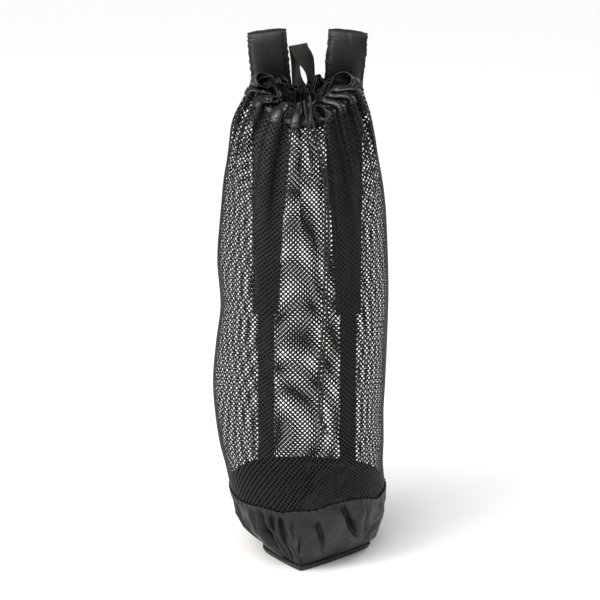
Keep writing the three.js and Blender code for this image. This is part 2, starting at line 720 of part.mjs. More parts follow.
const turns = columnTurns();
const sack = [netSack(turns), collar(turns), baseBand(turns)];
const bag = new THREE.Group();
bag.add(...sack, basePanel(turns));
bag.add(...strapPieces('left', sack), ...strapPieces('right', sack));
bag.add(grabLoop(sack));
bag.add(drawCord('left'), drawCord('right'), cordKnot());

export default bag;
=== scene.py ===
import bpy
import math
import numpy as np
from mathutils import Matrix, Vector


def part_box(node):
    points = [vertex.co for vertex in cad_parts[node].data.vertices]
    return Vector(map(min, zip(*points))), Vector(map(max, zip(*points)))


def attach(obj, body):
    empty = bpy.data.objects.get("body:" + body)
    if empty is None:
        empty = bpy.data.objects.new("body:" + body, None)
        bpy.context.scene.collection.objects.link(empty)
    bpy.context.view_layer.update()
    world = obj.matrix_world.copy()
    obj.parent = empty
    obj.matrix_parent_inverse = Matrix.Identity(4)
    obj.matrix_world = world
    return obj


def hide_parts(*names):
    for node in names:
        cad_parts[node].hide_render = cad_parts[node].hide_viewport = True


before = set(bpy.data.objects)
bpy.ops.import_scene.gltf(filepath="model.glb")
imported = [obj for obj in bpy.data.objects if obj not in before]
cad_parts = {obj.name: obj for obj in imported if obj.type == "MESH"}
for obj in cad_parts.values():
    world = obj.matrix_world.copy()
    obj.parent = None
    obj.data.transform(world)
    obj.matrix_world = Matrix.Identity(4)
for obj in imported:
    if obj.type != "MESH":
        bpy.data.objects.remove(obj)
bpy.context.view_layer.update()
print("frame loaded")

# camera
view = {"aim": (0.0, 0.0, 0.3915), "distance": 3.2, "elevation": 18.0, "lens": 132.4, "sensor": 36}


def setCamera():
    x, y, z = view["aim"]
    rise = math.radians(view["elevation"])
    away, up = view["distance"] * math.cos(rise), view["distance"] * math.sin(rise)
    bpy.ops.object.camera_add(
        location=(x, y - away, z + up), rotation=(math.radians(90 - view["elevation"]), 0, 0)
    )
    camera = bpy.context.object
    camera.name = "bagCamera"
    camera.data.lens = view["lens"]
    camera.data.sensor_width = view["sensor"]
    bpy.context.scene.camera = camera


# small helpers
def enterMode(kind):
    bpy.ops.object.mode_set(mode=kind)


def deselectAll():
    if bpy.context.object and bpy.context.object.mode != "OBJECT":
        enterMode("OBJECT")
    bpy.ops.object.select_all(action="DESELECT")


def pickOnly(piece):
    deselectAll()
    piece.select_set(True)
    bpy.context.view_layer.objects.active = piece


def cornersOf(piece):
    corners = np.empty(len(piece.data.vertices) * 3)
    piece.data.vertices.foreach_get("co", corners)
    return corners.reshape(-1, 3)


def moveCorners(piece, corners):
    piece.data.vertices.foreach_set("co", np.ascontiguousarray(corners, dtype=np.float64).ravel())
    piece.data.update()


def selectCorners(piece, chosen):
    # every flag is set in object mode, then edit mode shows the same choice
    mesh = piece.data
    mesh.vertices.foreach_set("select", np.asarray(chosen, dtype=bool))
    ends = np.empty(len(mesh.edges) * 2, dtype=np.int32)
    mesh.edges.foreach_get("vertices", ends)
    ends = ends.reshape(-1, 2)
    mesh.edges.foreach_set("select", np.asarray(chosen, dtype=bool)[ends].all(axis=1))
    mesh.polygons.foreach_set("select", np.zeros(len(mesh.polygons), dtype=bool))


def useModifier(piece, kind, **settings):
    pickOnly(piece)
    modifier = piece.modifiers.new(kind.title(), kind)
    for key, value in settings.items():
        setattr(modifier, key, value)
    bpy.ops.object.modifier_apply(modifier=modifier.name)


def smoothShade(piece, angle=None):
    pickOnly(piece)
    if angle is None:
        bpy.ops.object.shade_smooth()
    else:
        bpy.ops.object.shade_smooth_by_angle(angle=math.radians(angle))


def finishPiece(piece, nodes, material):
    piece.data.materials.clear()
    piece.data.materials.append(material)
    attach(piece, "root")
    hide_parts(*nodes)


def smoothStep(value, low, high):
    share = np.clip((value - low) / (high - low), 0, 1)
    return share * share * (3 - 2 * share)


def bell(offset, halfWidth):
    # a soft hump, 1 in the middle
    return np.exp(-(offset / halfWidth)**2)


def bend(share, start, startSlope, end, endSlope):
    # a cubic curve between two values, with a given slope at each
    return ((2 * share**3 - 3 * share**2 + 1) * start + (share**3 - 2 * share**2 + share) * startSlope
            + (3 * share**2 - 2 * share**3) * end + (share**3 - share**2) * endSlope)


def ripples(across, along, seed, waves):
    # smooth lumps that close on themselves round a turn, four of each kind in waves, which gives the
    # fewest and the most lumps round, how many along at most, and the height
    dice = np.random.default_rng(seed)
    total = 0
    for fewest, most, steep, height in waves:
        for _ in range(4):
            count = dice.integers(fewest, most + 1)
            up = dice.uniform(-steep, steep)
            start = dice.uniform(0, 1)
            total = total + height / 2 * np.sin(2 * np.pi * (count * across + up * along + start))
    return total


def laySheet(name, columns, rows, place, closedRound=True):
    # a grid with its own UVs, every corner moved onto place(u, v)
    deselectAll()
    bpy.ops.mesh.primitive_grid_add(
        x_subdivisions=columns, y_subdivisions=rows, size=1, location=(0, 0, 0), calc_uvs=True
    )
    sheet = bpy.context.object
    sheet.name = sheet.data.name = name
    flat = cornersOf(sheet)
    moveCorners(sheet, place(flat[:, 0] + 0.5, flat[:, 1] + 0.5))
    if closedRound:
        enterMode("EDIT")
        bpy.ops.mesh.select_all(action="SELECT")
        bpy.ops.mesh.remove_doubles(threshold=1e-6)
        enterMode("OBJECT")
    return sheet


def selectRims():
    # the open edges of the piece in edit mode, and nothing else
    bpy.ops.mesh.select_all(action="DESELECT")
    bpy.ops.mesh.select_non_manifold(extend=False, use_wire=False, use_boundary=True,
                                     use_multi_face=False, use_non_contiguous=False, use_verts=False)


def faceOutwards():
    # turns every face of the piece in edit mode out, and leaves edit mode
    bpy.ops.mesh.select_all(action="SELECT")
    bpy.ops.mesh.normals_make_consistent(inside=False)
    enterMode("OBJECT")


def closeEnds(piece):
    # fills each open end of a tube
    pickOnly(piece)
    enterMode("EDIT")
    bpy.ops.mesh.select_mode(type="VERT")
    selectRims()
    bpy.ops.mesh.fill_holes(sides=0)
    faceOutwards()


def joinPieces(pieces, name):
    pickOnly(pieces[0])
    for piece in pieces[1:]:
        piece.select_set(True)
    if len(pieces) > 1:
        bpy.ops.object.join()
    whole = bpy.context.object
    whole.name = whole.data.name = name
    bpy.ops.object.transform_apply(location=True, rotation=True, scale=True)
    return whole


stitch = {"segments": 6, "rings": 4, "lift": 0.0001, "ahead": 0.0008}


def sewn(name, places, ahead, outward, length, width):
    # one stitch, modelled once, and a copy of it at each place
    deselectAll()
    bpy.ops.mesh.primitive_uv_sphere_add(
        segments=stitch["segments"], ring_count=stitch["rings"], radius=1, location=(0, 0, 0)
    )
    first = bpy.context.object
    shape = cornersOf(first)
    made = [first]
    for _ in range(len(places) - 1):
        copy = first.copy()
        copy.data = first.data.copy()
        bpy.context.collection.objects.link(copy)
        made.append(copy)
    for piece, place, along, out in zip(made, places, ahead, outward):
        along = along / np.linalg.norm(along)
        side = np.cross(out, along)
        size = shape * (length / 2, width / 2, width / 2)
        moveCorners(piece, place + size @ np.array([along, side, out]))
    return joinPieces(made, name)


def seamStitches(name, table, v, count, length, width):
    # a row of stitches round a shell, at the height v of its table
    u = (np.arange(count) + 0.5) / count
    height = np.full(count, float(v))
    places = lookUp(table, u, height, stitch["lift"])
    further = lookUp(table, u + stitch["ahead"], height, stitch["lift"])
    outward = (lookUp(table, u, height, 0.01) - lookUp(table, u, height, 0.0)) * 100
    return sewn(name, places, further - places, outward, length, width)


# the drawcord's route, as in the CAD, in metres
cordRoutes = {
    "left": [
        (0.0056, -0.03, 0.6928), (0.0058, -0.037, 0.6928), (0.0062, -0.044, 0.692),
        (0.0068, -0.0505, 0.6892), (0.0078, -0.0565, 0.684), (0.0092, -0.0605, 0.677),
        (0.011, -0.0625, 0.6695), (0.014, -0.065, 0.661), (0.0185, -0.068, 0.6515), (0.023, -0.0715, 0.641),
        (0.028, -0.076, 0.62), (0.0326, -0.0795, 0.597), (0.0348, -0.0824, 0.562), (0.0352, -0.0846, 0.527),
        (0.035, -0.0872, 0.49), (0.0345, -0.0903, 0.455), (0.0337, -0.0935, 0.425),
        (0.0326, -0.0972, 0.395), (0.0308, -0.1012, 0.368), (0.0282, -0.1049, 0.335),
        (0.0266, -0.1084, 0.298), (0.0269, -0.1098, 0.277), (0.0281, -0.112, 0.2593),
    ],
    "right": [
        (0.0126, -0.029, 0.697), (0.013, -0.0355, 0.7003), (0.0134, -0.0425, 0.7014), (0.014, -0.0495, 0.7),
        (0.0146, -0.0555, 0.695), (0.0153, -0.06, 0.6875), (0.0163, -0.0628, 0.679),
        (0.018, -0.0648, 0.6705), (0.021, -0.0675, 0.661), (0.0245, -0.0705, 0.65),
        (0.0282, -0.0732, 0.638), (0.0332, -0.0764, 0.618), (0.0372, -0.0784, 0.596),
        (0.0393, -0.0806, 0.562), (0.0397, -0.0838, 0.527), (0.0395, -0.0861, 0.49), (0.039, -0.089, 0.455),
        (0.0382, -0.0922, 0.425), (0.0371, -0.096, 0.395), (0.0356, -0.1, 0.368), (0.0338, -0.1038, 0.335),
        (0.0322, -0.1072, 0.298), (0.0318, -0.1094, 0.277), (0.0315, -0.112, 0.2593),
    ],
}
cord = {"diameter": 0.003, "sides": 14, "steps": 420, "plaitLength": 0.0085, "plaitDepth": 0.00012,
        "knotAt": (0.0297, -0.1123, 0.253)}
cordTails = [
    [(0.029, -0.112, 0.250), (0.0296, -0.1114, 0.244), (0.0316, -0.1102, 0.237), (0.0334, -0.110, 0.229)],
    [(0.0306, -0.112, 0.250), (0.033, -0.111, 0.244), (0.0362, -0.1097, 0.237), (0.0384, -0.1092, 0.229)],
]


def alongRoute(points, count):
    # the same centripetal curve through the points as the CAD's
    points = [np.array(p, float) for p in points]
    points = [2 * points[0] - points[1]] + points + [2 * points[-1] - points[-2]]
    spans = len(points) - 3
    made = []
    for place in np.linspace(0, spans, count):
        k = min(int(place), spans - 1)
        share = place - k
        a, b, c, d = points[k:k + 4]
        gaps = [math.sqrt(np.linalg.norm(q - p)) for p, q in ((a, b), (b, c), (c, d))]
        slopeB = ((b - a) / gaps[0] - (c - a) / (gaps[0] + gaps[1]) + (c - b) / gaps[1]) * gaps[1]
        slopeC = ((c - b) / gaps[1] - (d - b) / (gaps[1] + gaps[2]) + (d - c) / gaps[2]) * gaps[1]
        made.append(bend(share, b, slopeB, c, slopeC))
    return np.array(made)


def lengthOf(path):
    return float(np.linalg.norm(np.diff(path, axis=0), axis=1).sum())


def framesAlong(path, across):
    # forward, across and through at each point of a path
    forward = np.gradient(path, axis=0)
    forward /= np.linalg.norm(forward, axis=1)[:, None]
    across = np.broadcast_to(np.asarray(across, float), path.shape)
    across = across - forward * (across * forward).sum(axis=1)[:, None]
    across = across / np.linalg.norm(across, axis=1)[:, None]
    return forward, across, np.cross(forward, across)


def betweenFrames(path, side, through, v):
    # the centre and both directions at the share v of a path
    at = v * (len(path) - 1)
    low = np.clip(at.astype(int), 0, len(path) - 2)
    share = (at - low)[:, None]
    return [row[low] * (1 - share) + row[low + 1] * share for row in (path, side, through)]


def tubeAlong(name, path, radius, sides, relief=None, across=(1, 0, 0)):
    # a round tube: u runs round it and v along it
    _, side, through = framesAlong(path, across)

    def place(u, v):
        centre, sideways, outwards = betweenFrames(path, side, through, v)
        reach = radius(v) if callable(radius) else radius
        if relief is not None:
            reach = reach + relief(u, v)
        reach = np.broadcast_to(reach, u.shape)[:, None]
        turn = (2 * np.pi * u)[:, None]
        return centre + reach * (sideways * np.cos(turn) + outwards * np.sin(turn))

    tube = laySheet(name, sides, len(path) - 1, place)
    closeEnds(tube)
    return tube


setCamera()
print("camera set")

# the sack's shape, as in the CAD, and how far its hem is dipped at left, right, front and back
sack = {"width": 0.258, "depth": 0.224, "seam": 0.103, "hem": 0.704, "netWall": 0.0016,
        "hemDips": (0.0, 0.0, -1.0, -0.35), "collarRise": 0.036, "pleatDepth": 0.008, "valleyDepth": 0.015,
        "panelRise": 0.009, "fold": 0.13, "creaseDepth": 0.009}
# share of the way up the net: left, right, front and back reach, and the corner's power
netSections = np.array([
    (0.0, 0.81, 0.98, 1.0, 0.93, 2.1), (0.06, 0.87, 0.96, 1.01, 0.94, 2.1),
    (0.12, 0.94, 0.96, 1.0, 0.94, 2.2), (0.2, 0.99, 0.96, 0.99, 0.94, 2.2),
    (0.28, 1.01, 0.99, 0.98, 0.94, 2.2), (0.37, 0.97, 1.01, 0.97, 0.94, 2.2),
    (0.47, 0.91, 1.01, 0.96, 0.93, 2.2), (0.59, 0.94, 0.99, 0.93, 0.91, 2.2),
    (0.71, 0.9, 0.97, 0.88, 0.88, 2.2), (0.79, 0.86, 0.92, 0.82, 0.84, 2.1),
    (0.87, 0.78, 0.83, 0.74, 0.78, 2.1), (0.93, 0.7, 0.74, 0.65, 0.69, 2.0),
    (1.0, 0.53, 0.62, 0.55, 0.56, 2.0),
])
# the same from the base seam down to the floor
baseSections = np.array([
    (0.0, 0.81, 0.98, 1.0, 0.93, 2.1), (0.16, 0.79, 0.99, 1.0, 0.93, 2.1),
    (0.33, 0.76, 0.98, 0.98, 0.92, 1.95), (0.5, 0.7, 0.96, 0.95, 0.9, 1.75),
    (0.67, 0.61, 0.92, 0.89, 0.86, 1.5), (0.83, 0.51, 0.88, 0.81, 0.8, 1.25),
    (0.92, 0.48, 0.81, 0.77, 0.75, 1.14), (1.0, 0.45, 0.74, 0.72, 0.7, 1.08),
])
# a ridge's bearing, how far it stands out, how far the dip after it sinks and its run down the net
gathers = np.array([
    (10, 1.25, 0.8, 0.22), (40, 0.7, 0.7, 0.24), (64, 0.6, 0.6, 0.28), (84, 0.5, 0.6, 0.3),
    (103, 0.5, 0.65, 0.3), (125, 0.7, 0.75, 0.26), (155, 1.15, 0.9, 0.22), (189, 1.05, 0.85, 0.22),
    (214, 1.0, 0.9, 0.28), (243, 1.15, 0.85, 0.34), (266, 0.8, 0.8, 0.42), (282, 0.35, 0.6, 0.42),
    (298, 1.1, 0.85, 0.4), (315, 0.8, 0.8, 0.36), (331, 0.9, 0.85, 0.3), (349, 0.95, 0.85, 0.26),
])
# the open end of each ridge's fold: its middle, half width and half length, the bearing and the rise
# that it faces, and the height at which it points to the throat
folds = np.array([
    (0.059, 0.003, 0.7155, 0.0125, 0.015, 262, 34, 0.694),
    (0.0425, 0.027, 0.709, 0.005, 0.009, 250, 60, 0.69),
    (0.0256, 0.038, 0.713, 0.0045, 0.0075, 300, 66, 0.69),
    (0.0114, 0.034, 0.6985, 0.004, 0.006, 280, 60, 0.69),
    (-0.0057, 0.034, 0.6985, 0.004, 0.006, 262, 60, 0.69),
    (-0.0227, 0.03, 0.7085, 0.006, 0.0095, 290, 50, 0.69),
    (-0.0485, 0.001, 0.7155, 0.0118, 0.015, 290, 30, 0.7),
    (-0.0462, -0.012, 0.701, 0.0055, 0.009, 20, 62, 0.69),
    (-0.0345, -0.027, 0.694, 0.0056, 0.0062, 284, 26, 0.7),
    (-0.0209, -0.035, 0.69, 0.0065, 0.0065, 60, 55, 0.69),
    (-0.0014, -0.036, 0.69, 0.0048, 0.0055, 90, 62, 0.69),
    (0.0112, -0.034, 0.689, 0.0026, 0.0045, 95, 66, 0.69),
    (0.0272, -0.062, 0.6838, 0.0086, 0.0112, 264, 8, 0.725),
    (0.0293, -0.031, 0.696, 0.0046, 0.0065, 185, 48, 0.69),
    (0.0378, -0.02, 0.6994, 0.005, 0.008, 165, 52, 0.69),
    (0.0477, -0.006, 0.7042, 0.0058, 0.0095, 150, 58, 0.69),
])
valley = {"bearing": 288, "halfWidth": 13, "from": 0.22, "deepest": 0.66, "to": 1.15}


def rowAt(table, place):
    # a smooth line through a table's rows, whose first column is the place
    place = np.asarray(place, float)
    keys = table[:, 0]
    before = np.clip(np.searchsorted(keys, place, side="right") - 1, 0, len(keys) - 2)
    start, end = table[before], table[before + 1]
    earlier, later = table[np.maximum(before - 1, 0)], table[np.minimum(before + 2, len(keys) - 1)]
    share = ((place - start[..., 0]) / (end[..., 0] - start[..., 0]))[..., None]
    return bend(share, start, (end - earlier) / 2, end, (later - start) / 2)


def roundSack(left, right, front, back, turn):
    across, along = np.cos(2 * np.pi * turn), np.sin(2 * np.pi * turn)
    return across**2 * np.where(across < 0, left, right) + along**2 * np.where(along < 0, front, back)


def outline(section, turn):
    across, along = np.cos(2 * np.pi * turn), np.sin(2 * np.pi * turn)
    power = 2 / section[..., 5]
    halfWidth = np.where(across < 0, section[..., 1], section[..., 2]) * sack["width"] / 2
    halfDepth = np.where(along < 0, section[..., 3], section[..., 4]) * sack["depth"] / 2
    return (np.sign(across) * np.abs(across)**power * halfWidth,
            np.sign(along) * np.abs(along)**power * halfDepth)


def outwardAt(section, turn):
    # the level direction out of an outline
    x0, y0 = outline(section, turn - 0.0004)
    x1, y1 = outline(section, turn + 0.0004)
    size = np.maximum(np.hypot(x1 - x0, y1 - y0), 1e-12)
    return np.stack([(y1 - y0) / size, (x0 - x1) / size, 0 * size], axis=-1)


def pleatAt(turn):
    # how far out, how far down and how far round it leans over its neck
    first = gathers[0, 0]
    bearing = (turn * 360 - first) % 360
    starts = gathers[:, 0] - first
    index = np.clip(np.searchsorted(starts, bearing, side="right") - 1, 0, len(gathers) - 1)
    here, later = gathers[index], gathers[(index + 1) % len(gathers)]
    start = starts[index]
    end = np.where(index + 1 < len(gathers), starts[(index + 1) % len(gathers)], 360)
    share = (bearing - start) / (end - start)
    ridge = np.where(share < 0.5, here[..., 1], later[..., 1])
    out = (ridge + here[..., 2]) / 2 * np.cos(2 * np.pi * share) + (ridge - here[..., 2]) / 2
    run = here[..., 3] * (1 - share) + later[..., 3] * share
    return out, run, (end - start) / 360 * np.sin(4 * np.pi * share)


def valleyAt(turn, rise):
    depth = np.minimum(smoothStep(rise, valley["from"], valley["deepest"]),
                       1 - smoothStep(rise, valley["deepest"], valley["to"]))
    offset = turn % 1 * 360 - valley["bearing"]
    return sack["valleyDepth"] * depth * bell(offset, valley["halfWidth"])


def levelOut(x, y):
    # the level direction out of a ring of points, which run round the last axis
    stepX, stepY = np.gradient(x, axis=-1), np.gradient(y, axis=-1)
    size = np.maximum(np.hypot(stepX, stepY), 1e-12)
    return stepY / size, -stepX / size


# the base seam rises and dips as the cloth is pulled: bearing and height
seamLine = np.array([
    (0, 0.0), (40, 0.003), (80, -0.002), (130, 0.003), (180, 0.002), (215, -0.001), (240, 0.001),
    (256, -0.002), (266, 0.001), (279, 0.002), (291, 0.009), (305, 0.011), (319, 0.006), (333, -0.003),
    (346, -0.002),
])


def seamShift(turn):
    closed = np.concatenate([seamLine[-2:] - (360, 0), seamLine, seamLine[:2] + (360, 0)])
    return rowAt(closed, turn * 360 % 360)[..., 1]


def hemAt(turn):
    return sack["hem"] + roundSack(*sack["hemDips"], turn) * sack["collarRise"]


# every shell is worked out once on a fine table, even round and up, and then looked up
def evenTable(surface, rows, columns=1728, upright=False):
    # round from the back, and up by the mean climb of every 24th column
    turns = 0.25 + np.linspace(0, 1, columns + 1)[None, :]
    rough = np.linspace(0, 1, rows + 1)[:, None]
    grid = surface(turns, rough)
    climb = np.linalg.norm(np.diff(grid[:, ::24], axis=0), axis=2).mean(axis=1)
    reach = np.concatenate([[0], np.cumsum(climb)])
    even = np.interp(np.linspace(0, reach[-1], rows + 1), reach, rough[:, 0])
    if upright:
        # one spacing for every row, so that no column drifts sideways
        steps = np.linalg.norm(np.diff(grid, axis=1), axis=2).mean(axis=0)
        along = np.concatenate([[0], np.cumsum(steps)])
        turns = np.interp(np.linspace(0, along[-1], columns + 1), along, turns[0])[None, :]
    grid = surface(turns, even[:, None])
    girth = np.concatenate([np.zeros((rows + 1, 1)),
                            np.cumsum(np.linalg.norm(np.diff(grid, axis=1), axis=2), axis=1)], axis=1)
    shares = np.linspace(0, 1, columns + 1)
    made = grid.copy()
    for row in range(0 if upright else rows + 1):
        for axis in range(3):
            made[row, :, axis] = np.interp(shares * girth[row, -1], girth[row], grid[row, :, axis])
    closed = np.concatenate([made[:, -2:-1], made, made[:, 1:2]], axis=1)
    roundStep = closed[:, 2:] - closed[:, :-2]
    upStep = np.gradient(made, axis=0)
    normal = np.cross(roundStep, upStep)
    normal /= np.maximum(np.linalg.norm(normal, axis=2), 1e-12)[..., None]
    return {"points": made, "normals": normal, "girth": float(girth[:, -1].mean()),
            "height": float(reach[-1])}


def lookUp(table, u, v, lift=0.0):
    # the place at u and v of a table, lifted off its surface
    rows, columns = table["points"].shape[0] - 1, table["points"].shape[1] - 1
    across, up = (u % 1.0) * columns, np.clip(v, 0, 1) * rows
    column, row = np.minimum(across.astype(int), columns - 1), np.minimum(up.astype(int), rows - 1)
    a, b = (across - column)[:, None], (up - row)[:, None]

    def mix(grid):
        return ((grid[row, column] * (1 - a) + grid[row, column + 1] * a) * (1 - b)
                + (grid[row + 1, column] * (1 - a) + grid[row + 1, column + 1] * a) * b)

    lift = np.broadcast_to(np.asarray(lift, float), u.shape)[:, None]
    return mix(table["points"]) + mix(table["normals"]) * lift


# the net
net = {"cellsRound": 100, "cellsUp": 81, "bands": 3, "hole": 0.255, "halfThick": 0.00055,
       "tuckBelow": 0.006, "tuckAbove": 0.004, "tuckIn": 0.0012, "lumps": 0.0022, "seamFade": 0.16,
       "weld": 2e-5, "smooth": 75}


def netPlace(turn, rise):
    # rise runs from the base seam at 0 to the collar's hem at 1
    held = np.clip(rise, 0, 1)
    out, run, sway = pleatAt(turn)
    fade = smoothStep(held, 1 - run, 1)
    shifted = turn + sack["fold"] * sway * fade
    section = rowAt(netSections, held)
    x, y = outline(section, shifted)
    top = hemAt(turn)
    z = sack["seam"] + rise * (top - sack["seam"])
    z = z + seamShift(turn) * (1 - smoothStep(rise, 0, net["seamFade"]))
    relief = out * sack["pleatDepth"] * fade - valleyAt(turn, held) - sack["netWall"] / 2
    calm = smoothStep(held, 0.0, 0.12) * (1 - fade)
    lumps = ripples(turn, held, 11, [(2, 5, 2.5, 0.5), (5, 11, 4, 0.25)])
    relief = relief - net["lumps"] * calm * (1 + lumps)
    relief = relief - net["tuckIn"] * (smoothStep(-rise, -0.012, 0.0) + smoothStep(rise, 0.985, 1.0))
    level = outwardAt(section, shifted)
    return np.stack([x, y, z + 0 * x], axis=-1) + level * relief[..., None], level


def netSurface(turn, climb):
    # climb runs from the tuck behind the base's hem to the tuck behind the collar's
    height = sack["hem"] - sack["seam"]
    whole = height + net["tuckBelow"] + net["tuckAbove"]
    return netPlace(turn, (climb * whole - net["tuckBelow"]) / height)[0]


def netTile():
    # one pair of diamond holes: the rim is bare, and the strands stand up to a ridge front and back
    deselectAll()
    bpy.ops.mesh.primitive_circle_add(vertices=8, radius=net["hole"], fill_type="NOTHING", location=(0, 0, 0))
    tile = bpy.context.object
    enterMode("EDIT")
    bpy.ops.mesh.select_all(action="SELECT")
    bpy.ops.mesh.extrude_region_move(TRANSFORM_OT_translate={"value": (0, 0, 1)})
    enterMode("OBJECT")
    selectCorners(tile, np.abs(cornersOf(tile)[:, 2]) < 0.5)
    enterMode("EDIT")
    bpy.ops.mesh.extrude_region_move(TRANSFORM_OT_translate={"value": (0, 0, -1)})
    enterMode("OBJECT")
    corners = cornersOf(tile)
    bearing = np.arctan2(corners[:, 1], corners[:, 0])
    straight = np.abs(np.sin(2 * bearing)) < 0.5
    ridge = np.abs(corners[:, 2]) > 0.5
    reach = np.where(ridge, np.where(straight, 0.5, math.sqrt(0.125)), net["hole"])
    corners[:, 0], corners[:, 1] = np.cos(bearing) * reach, np.sin(bearing) * reach
    moveCorners(tile, corners)
    enterMode("EDIT")
    bpy.ops.mesh.select_all(action="SELECT")
    bpy.ops.mesh.duplicate_move(TRANSFORM_OT_translate={"value": (0.5, 0.5, 0)})
    enterMode("OBJECT")
    return tile


def netBand(tile, table, index):
    first = index * net["cellsUp"] // net["bands"]
    rows = (index + 1) * net["cellsUp"] // net["bands"] - first
    deselectAll()
    band = tile.copy()
    band.data = tile.data.copy()
    band.name = band.data.name = "net_band_%d" % (index + 1)
    bpy.context.collection.objects.link(band)
    useModifier(band, "ARRAY", count=net["cellsRound"], use_relative_offset=False,
                use_constant_offset=True, constant_offset_displace=(1, 0, 0))
    useModifier(band, "ARRAY", count=rows, use_relative_offset=False,
                use_constant_offset=True, constant_offset_displace=(0, 1, 0))
    flat = cornersOf(band)
    u = flat[:, 0] / net["cellsRound"]
    v = (flat[:, 1] + first + 0.5) / (net["cellsUp"] + 0.5)
    moveCorners(band, lookUp(table, u, v, flat[:, 2] * net["halfThick"]))
    enterMode("EDIT")
    bpy.ops.mesh.select_mode(type="VERT")
    bpy.ops.mesh.select_all(action="SELECT")
    bpy.ops.mesh.remove_doubles(threshold=net["weld"])
    # the two rims are closed between the net's front and its back, the lower one first
    middle = None
    for upper in (False, True):
        selectRims()
        enterMode("OBJECT")
        chosen = np.empty(len(band.data.vertices), dtype=bool)
        band.data.vertices.foreach_get("select", chosen)
        corners = cornersOf(band)
        if middle is None:
            middle = float(corners[:, 2].min() + corners[:, 2].max()) / 2
        chosen &= (corners[:, 2] > middle) == upper
        selectCorners(band, chosen)
        enterMode("EDIT")
        bpy.ops.mesh.bridge_edge_loops()
    faceOutwards()
    smoothShade(band, net["smooth"])
    return band


# the gathered collar
collar = {"columns": 640, "rows": 100, "thick": 0.0014, "overlap": 0.004, "lift": 0.0024, "crinkle": 0.0003,
          "swell": 0.003, "throat": 0.028, "backDip": 0.674, "frontDip": 0.681, "rise": 0.9, "dipRise": 0.6,
          "open": 0.7, "strip": 0.1, "hemLine": 0.11, "cordLine": 0.78, "innerColumns": 240, "innerRows": 32,
          "innerTop": 0.690, "innerFoot": 0.656, "flare": 0.013, "stitches": 130}


def wayTo(bearing, rise):
    level = math.cos(math.radians(rise))
    return np.array([level * math.cos(math.radians(bearing)), level * math.sin(math.radians(bearing)),
                     math.sin(math.radians(rise))])


def edgeLine():
    # the gathered edge, round each open fold and down into the throat between two: bearing, place and way
    knots = []
    for index, (fold, gather) in enumerate(zip(folds, gathers)):
        before = (gather[0] - gathers[index - 1, 0]) % 360
        after = (gathers[(index + 1) % len(gathers), 0] - gather[0]) % 360
        faces = wayTo(fold[5], fold[6])
        neck = np.array([0, 0, fold[7]]) - fold[:3]
        neck -= faces * neck.dot(faces)
        neck /= np.linalg.norm(neck)
        side = np.cross(neck, faces)
        for angle in (-150, -112, -75, -38, 0, 38, 75, 112, 150):
            turned = math.radians(angle)
            place = fold[:3] + side * fold[3] * math.sin(turned) - neck * fold[4] * math.cos(turned)
            share = angle / 150 * 0.34
            knots.append([gather[0] + share * (after if share > 0 else before), *place, *faces])
        dip = gather[0] + after / 2
        away = wayTo(dip, 0)
        deep = collar["backDip"] if away[1] > 0 else collar["frontDip"]
        knots.append([dip, *(away * collar["throat"])[:2], deep, *(away * -0.25)[:2], -0.97])
    knots = np.array(knots)
    turned = np.array([360, 0, 0, 0, 0, 0, 0])
    return np.concatenate([knots[-3:] - turned, knots, knots[:3] + turned])


edgeKnots = edgeLine()


def collarSurface(turn, climb):
    # climb runs from the hem at 0 to the gathered edge at 1
    first = edgeKnots[2, 0]
    edge = rowAt(edgeKnots, (turn * 360 - first) % 360 + first)[0]
    end, way = edge[:, 1:4], edge[:, 4:7] / np.linalg.norm(edge[:, 4:7], axis=1)[:, None]
    (lower, hem), (_, level) = netPlace(turn, np.array([[0.975], [1.0]]))
    rising = (hem - lower) / np.linalg.norm(hem - lower, axis=1)[:, None]
    hem = hem + level * collar["lift"]
    reach = np.linalg.norm(end - hem, axis=1)[:, None]
    out = pleatAt(turn)[0]
    rise = collar["dipRise"] + (collar["rise"] - collar["dipRise"]) * smoothStep(out, -0.5, 0.5)
    rise = rise.reshape(-1, 1)
    # a strip over the net first, then one curve from the hem to the edge
    up = np.clip((climb - collar["strip"]) / (1 - collar["strip"]), 0, 1)[..., None]
    below = np.clip(climb / collar["strip"], 0, 1)[..., None]
    points = bend(up, hem, rising * reach * rise, end, way * reach * collar["open"])
    points = points - rising * collar["overlap"] * (1 - below)
    # the stitch line of the hem, the line of the cord's channel, and crumples that run up the folds
    across = np.gradient(points, axis=1)
    square = np.cross(across, np.gradient(points, axis=0))
    square /= np.maximum(np.linalg.norm(square, axis=2), 1e-12)[..., None]
    crumple = ripples(turn, climb, 23, [(26, 48, 1.2, 0.8), (48, 90, 2.2, 0.45)])
    relief = collar["crinkle"] * (0.6 - 1.6 * np.abs(crumple)) * smoothStep(climb, 0.1, 0.3)
    relief = relief + collar["swell"] * out * np.sin(np.pi * up[..., 0])**2
    relief = relief - 0.0007 * bell(climb - collar["hemLine"], 0.012)
    relief = relief - 0.0006 * bell(climb - collar["cordLine"], 0.016)
    return points + square * relief[..., None]


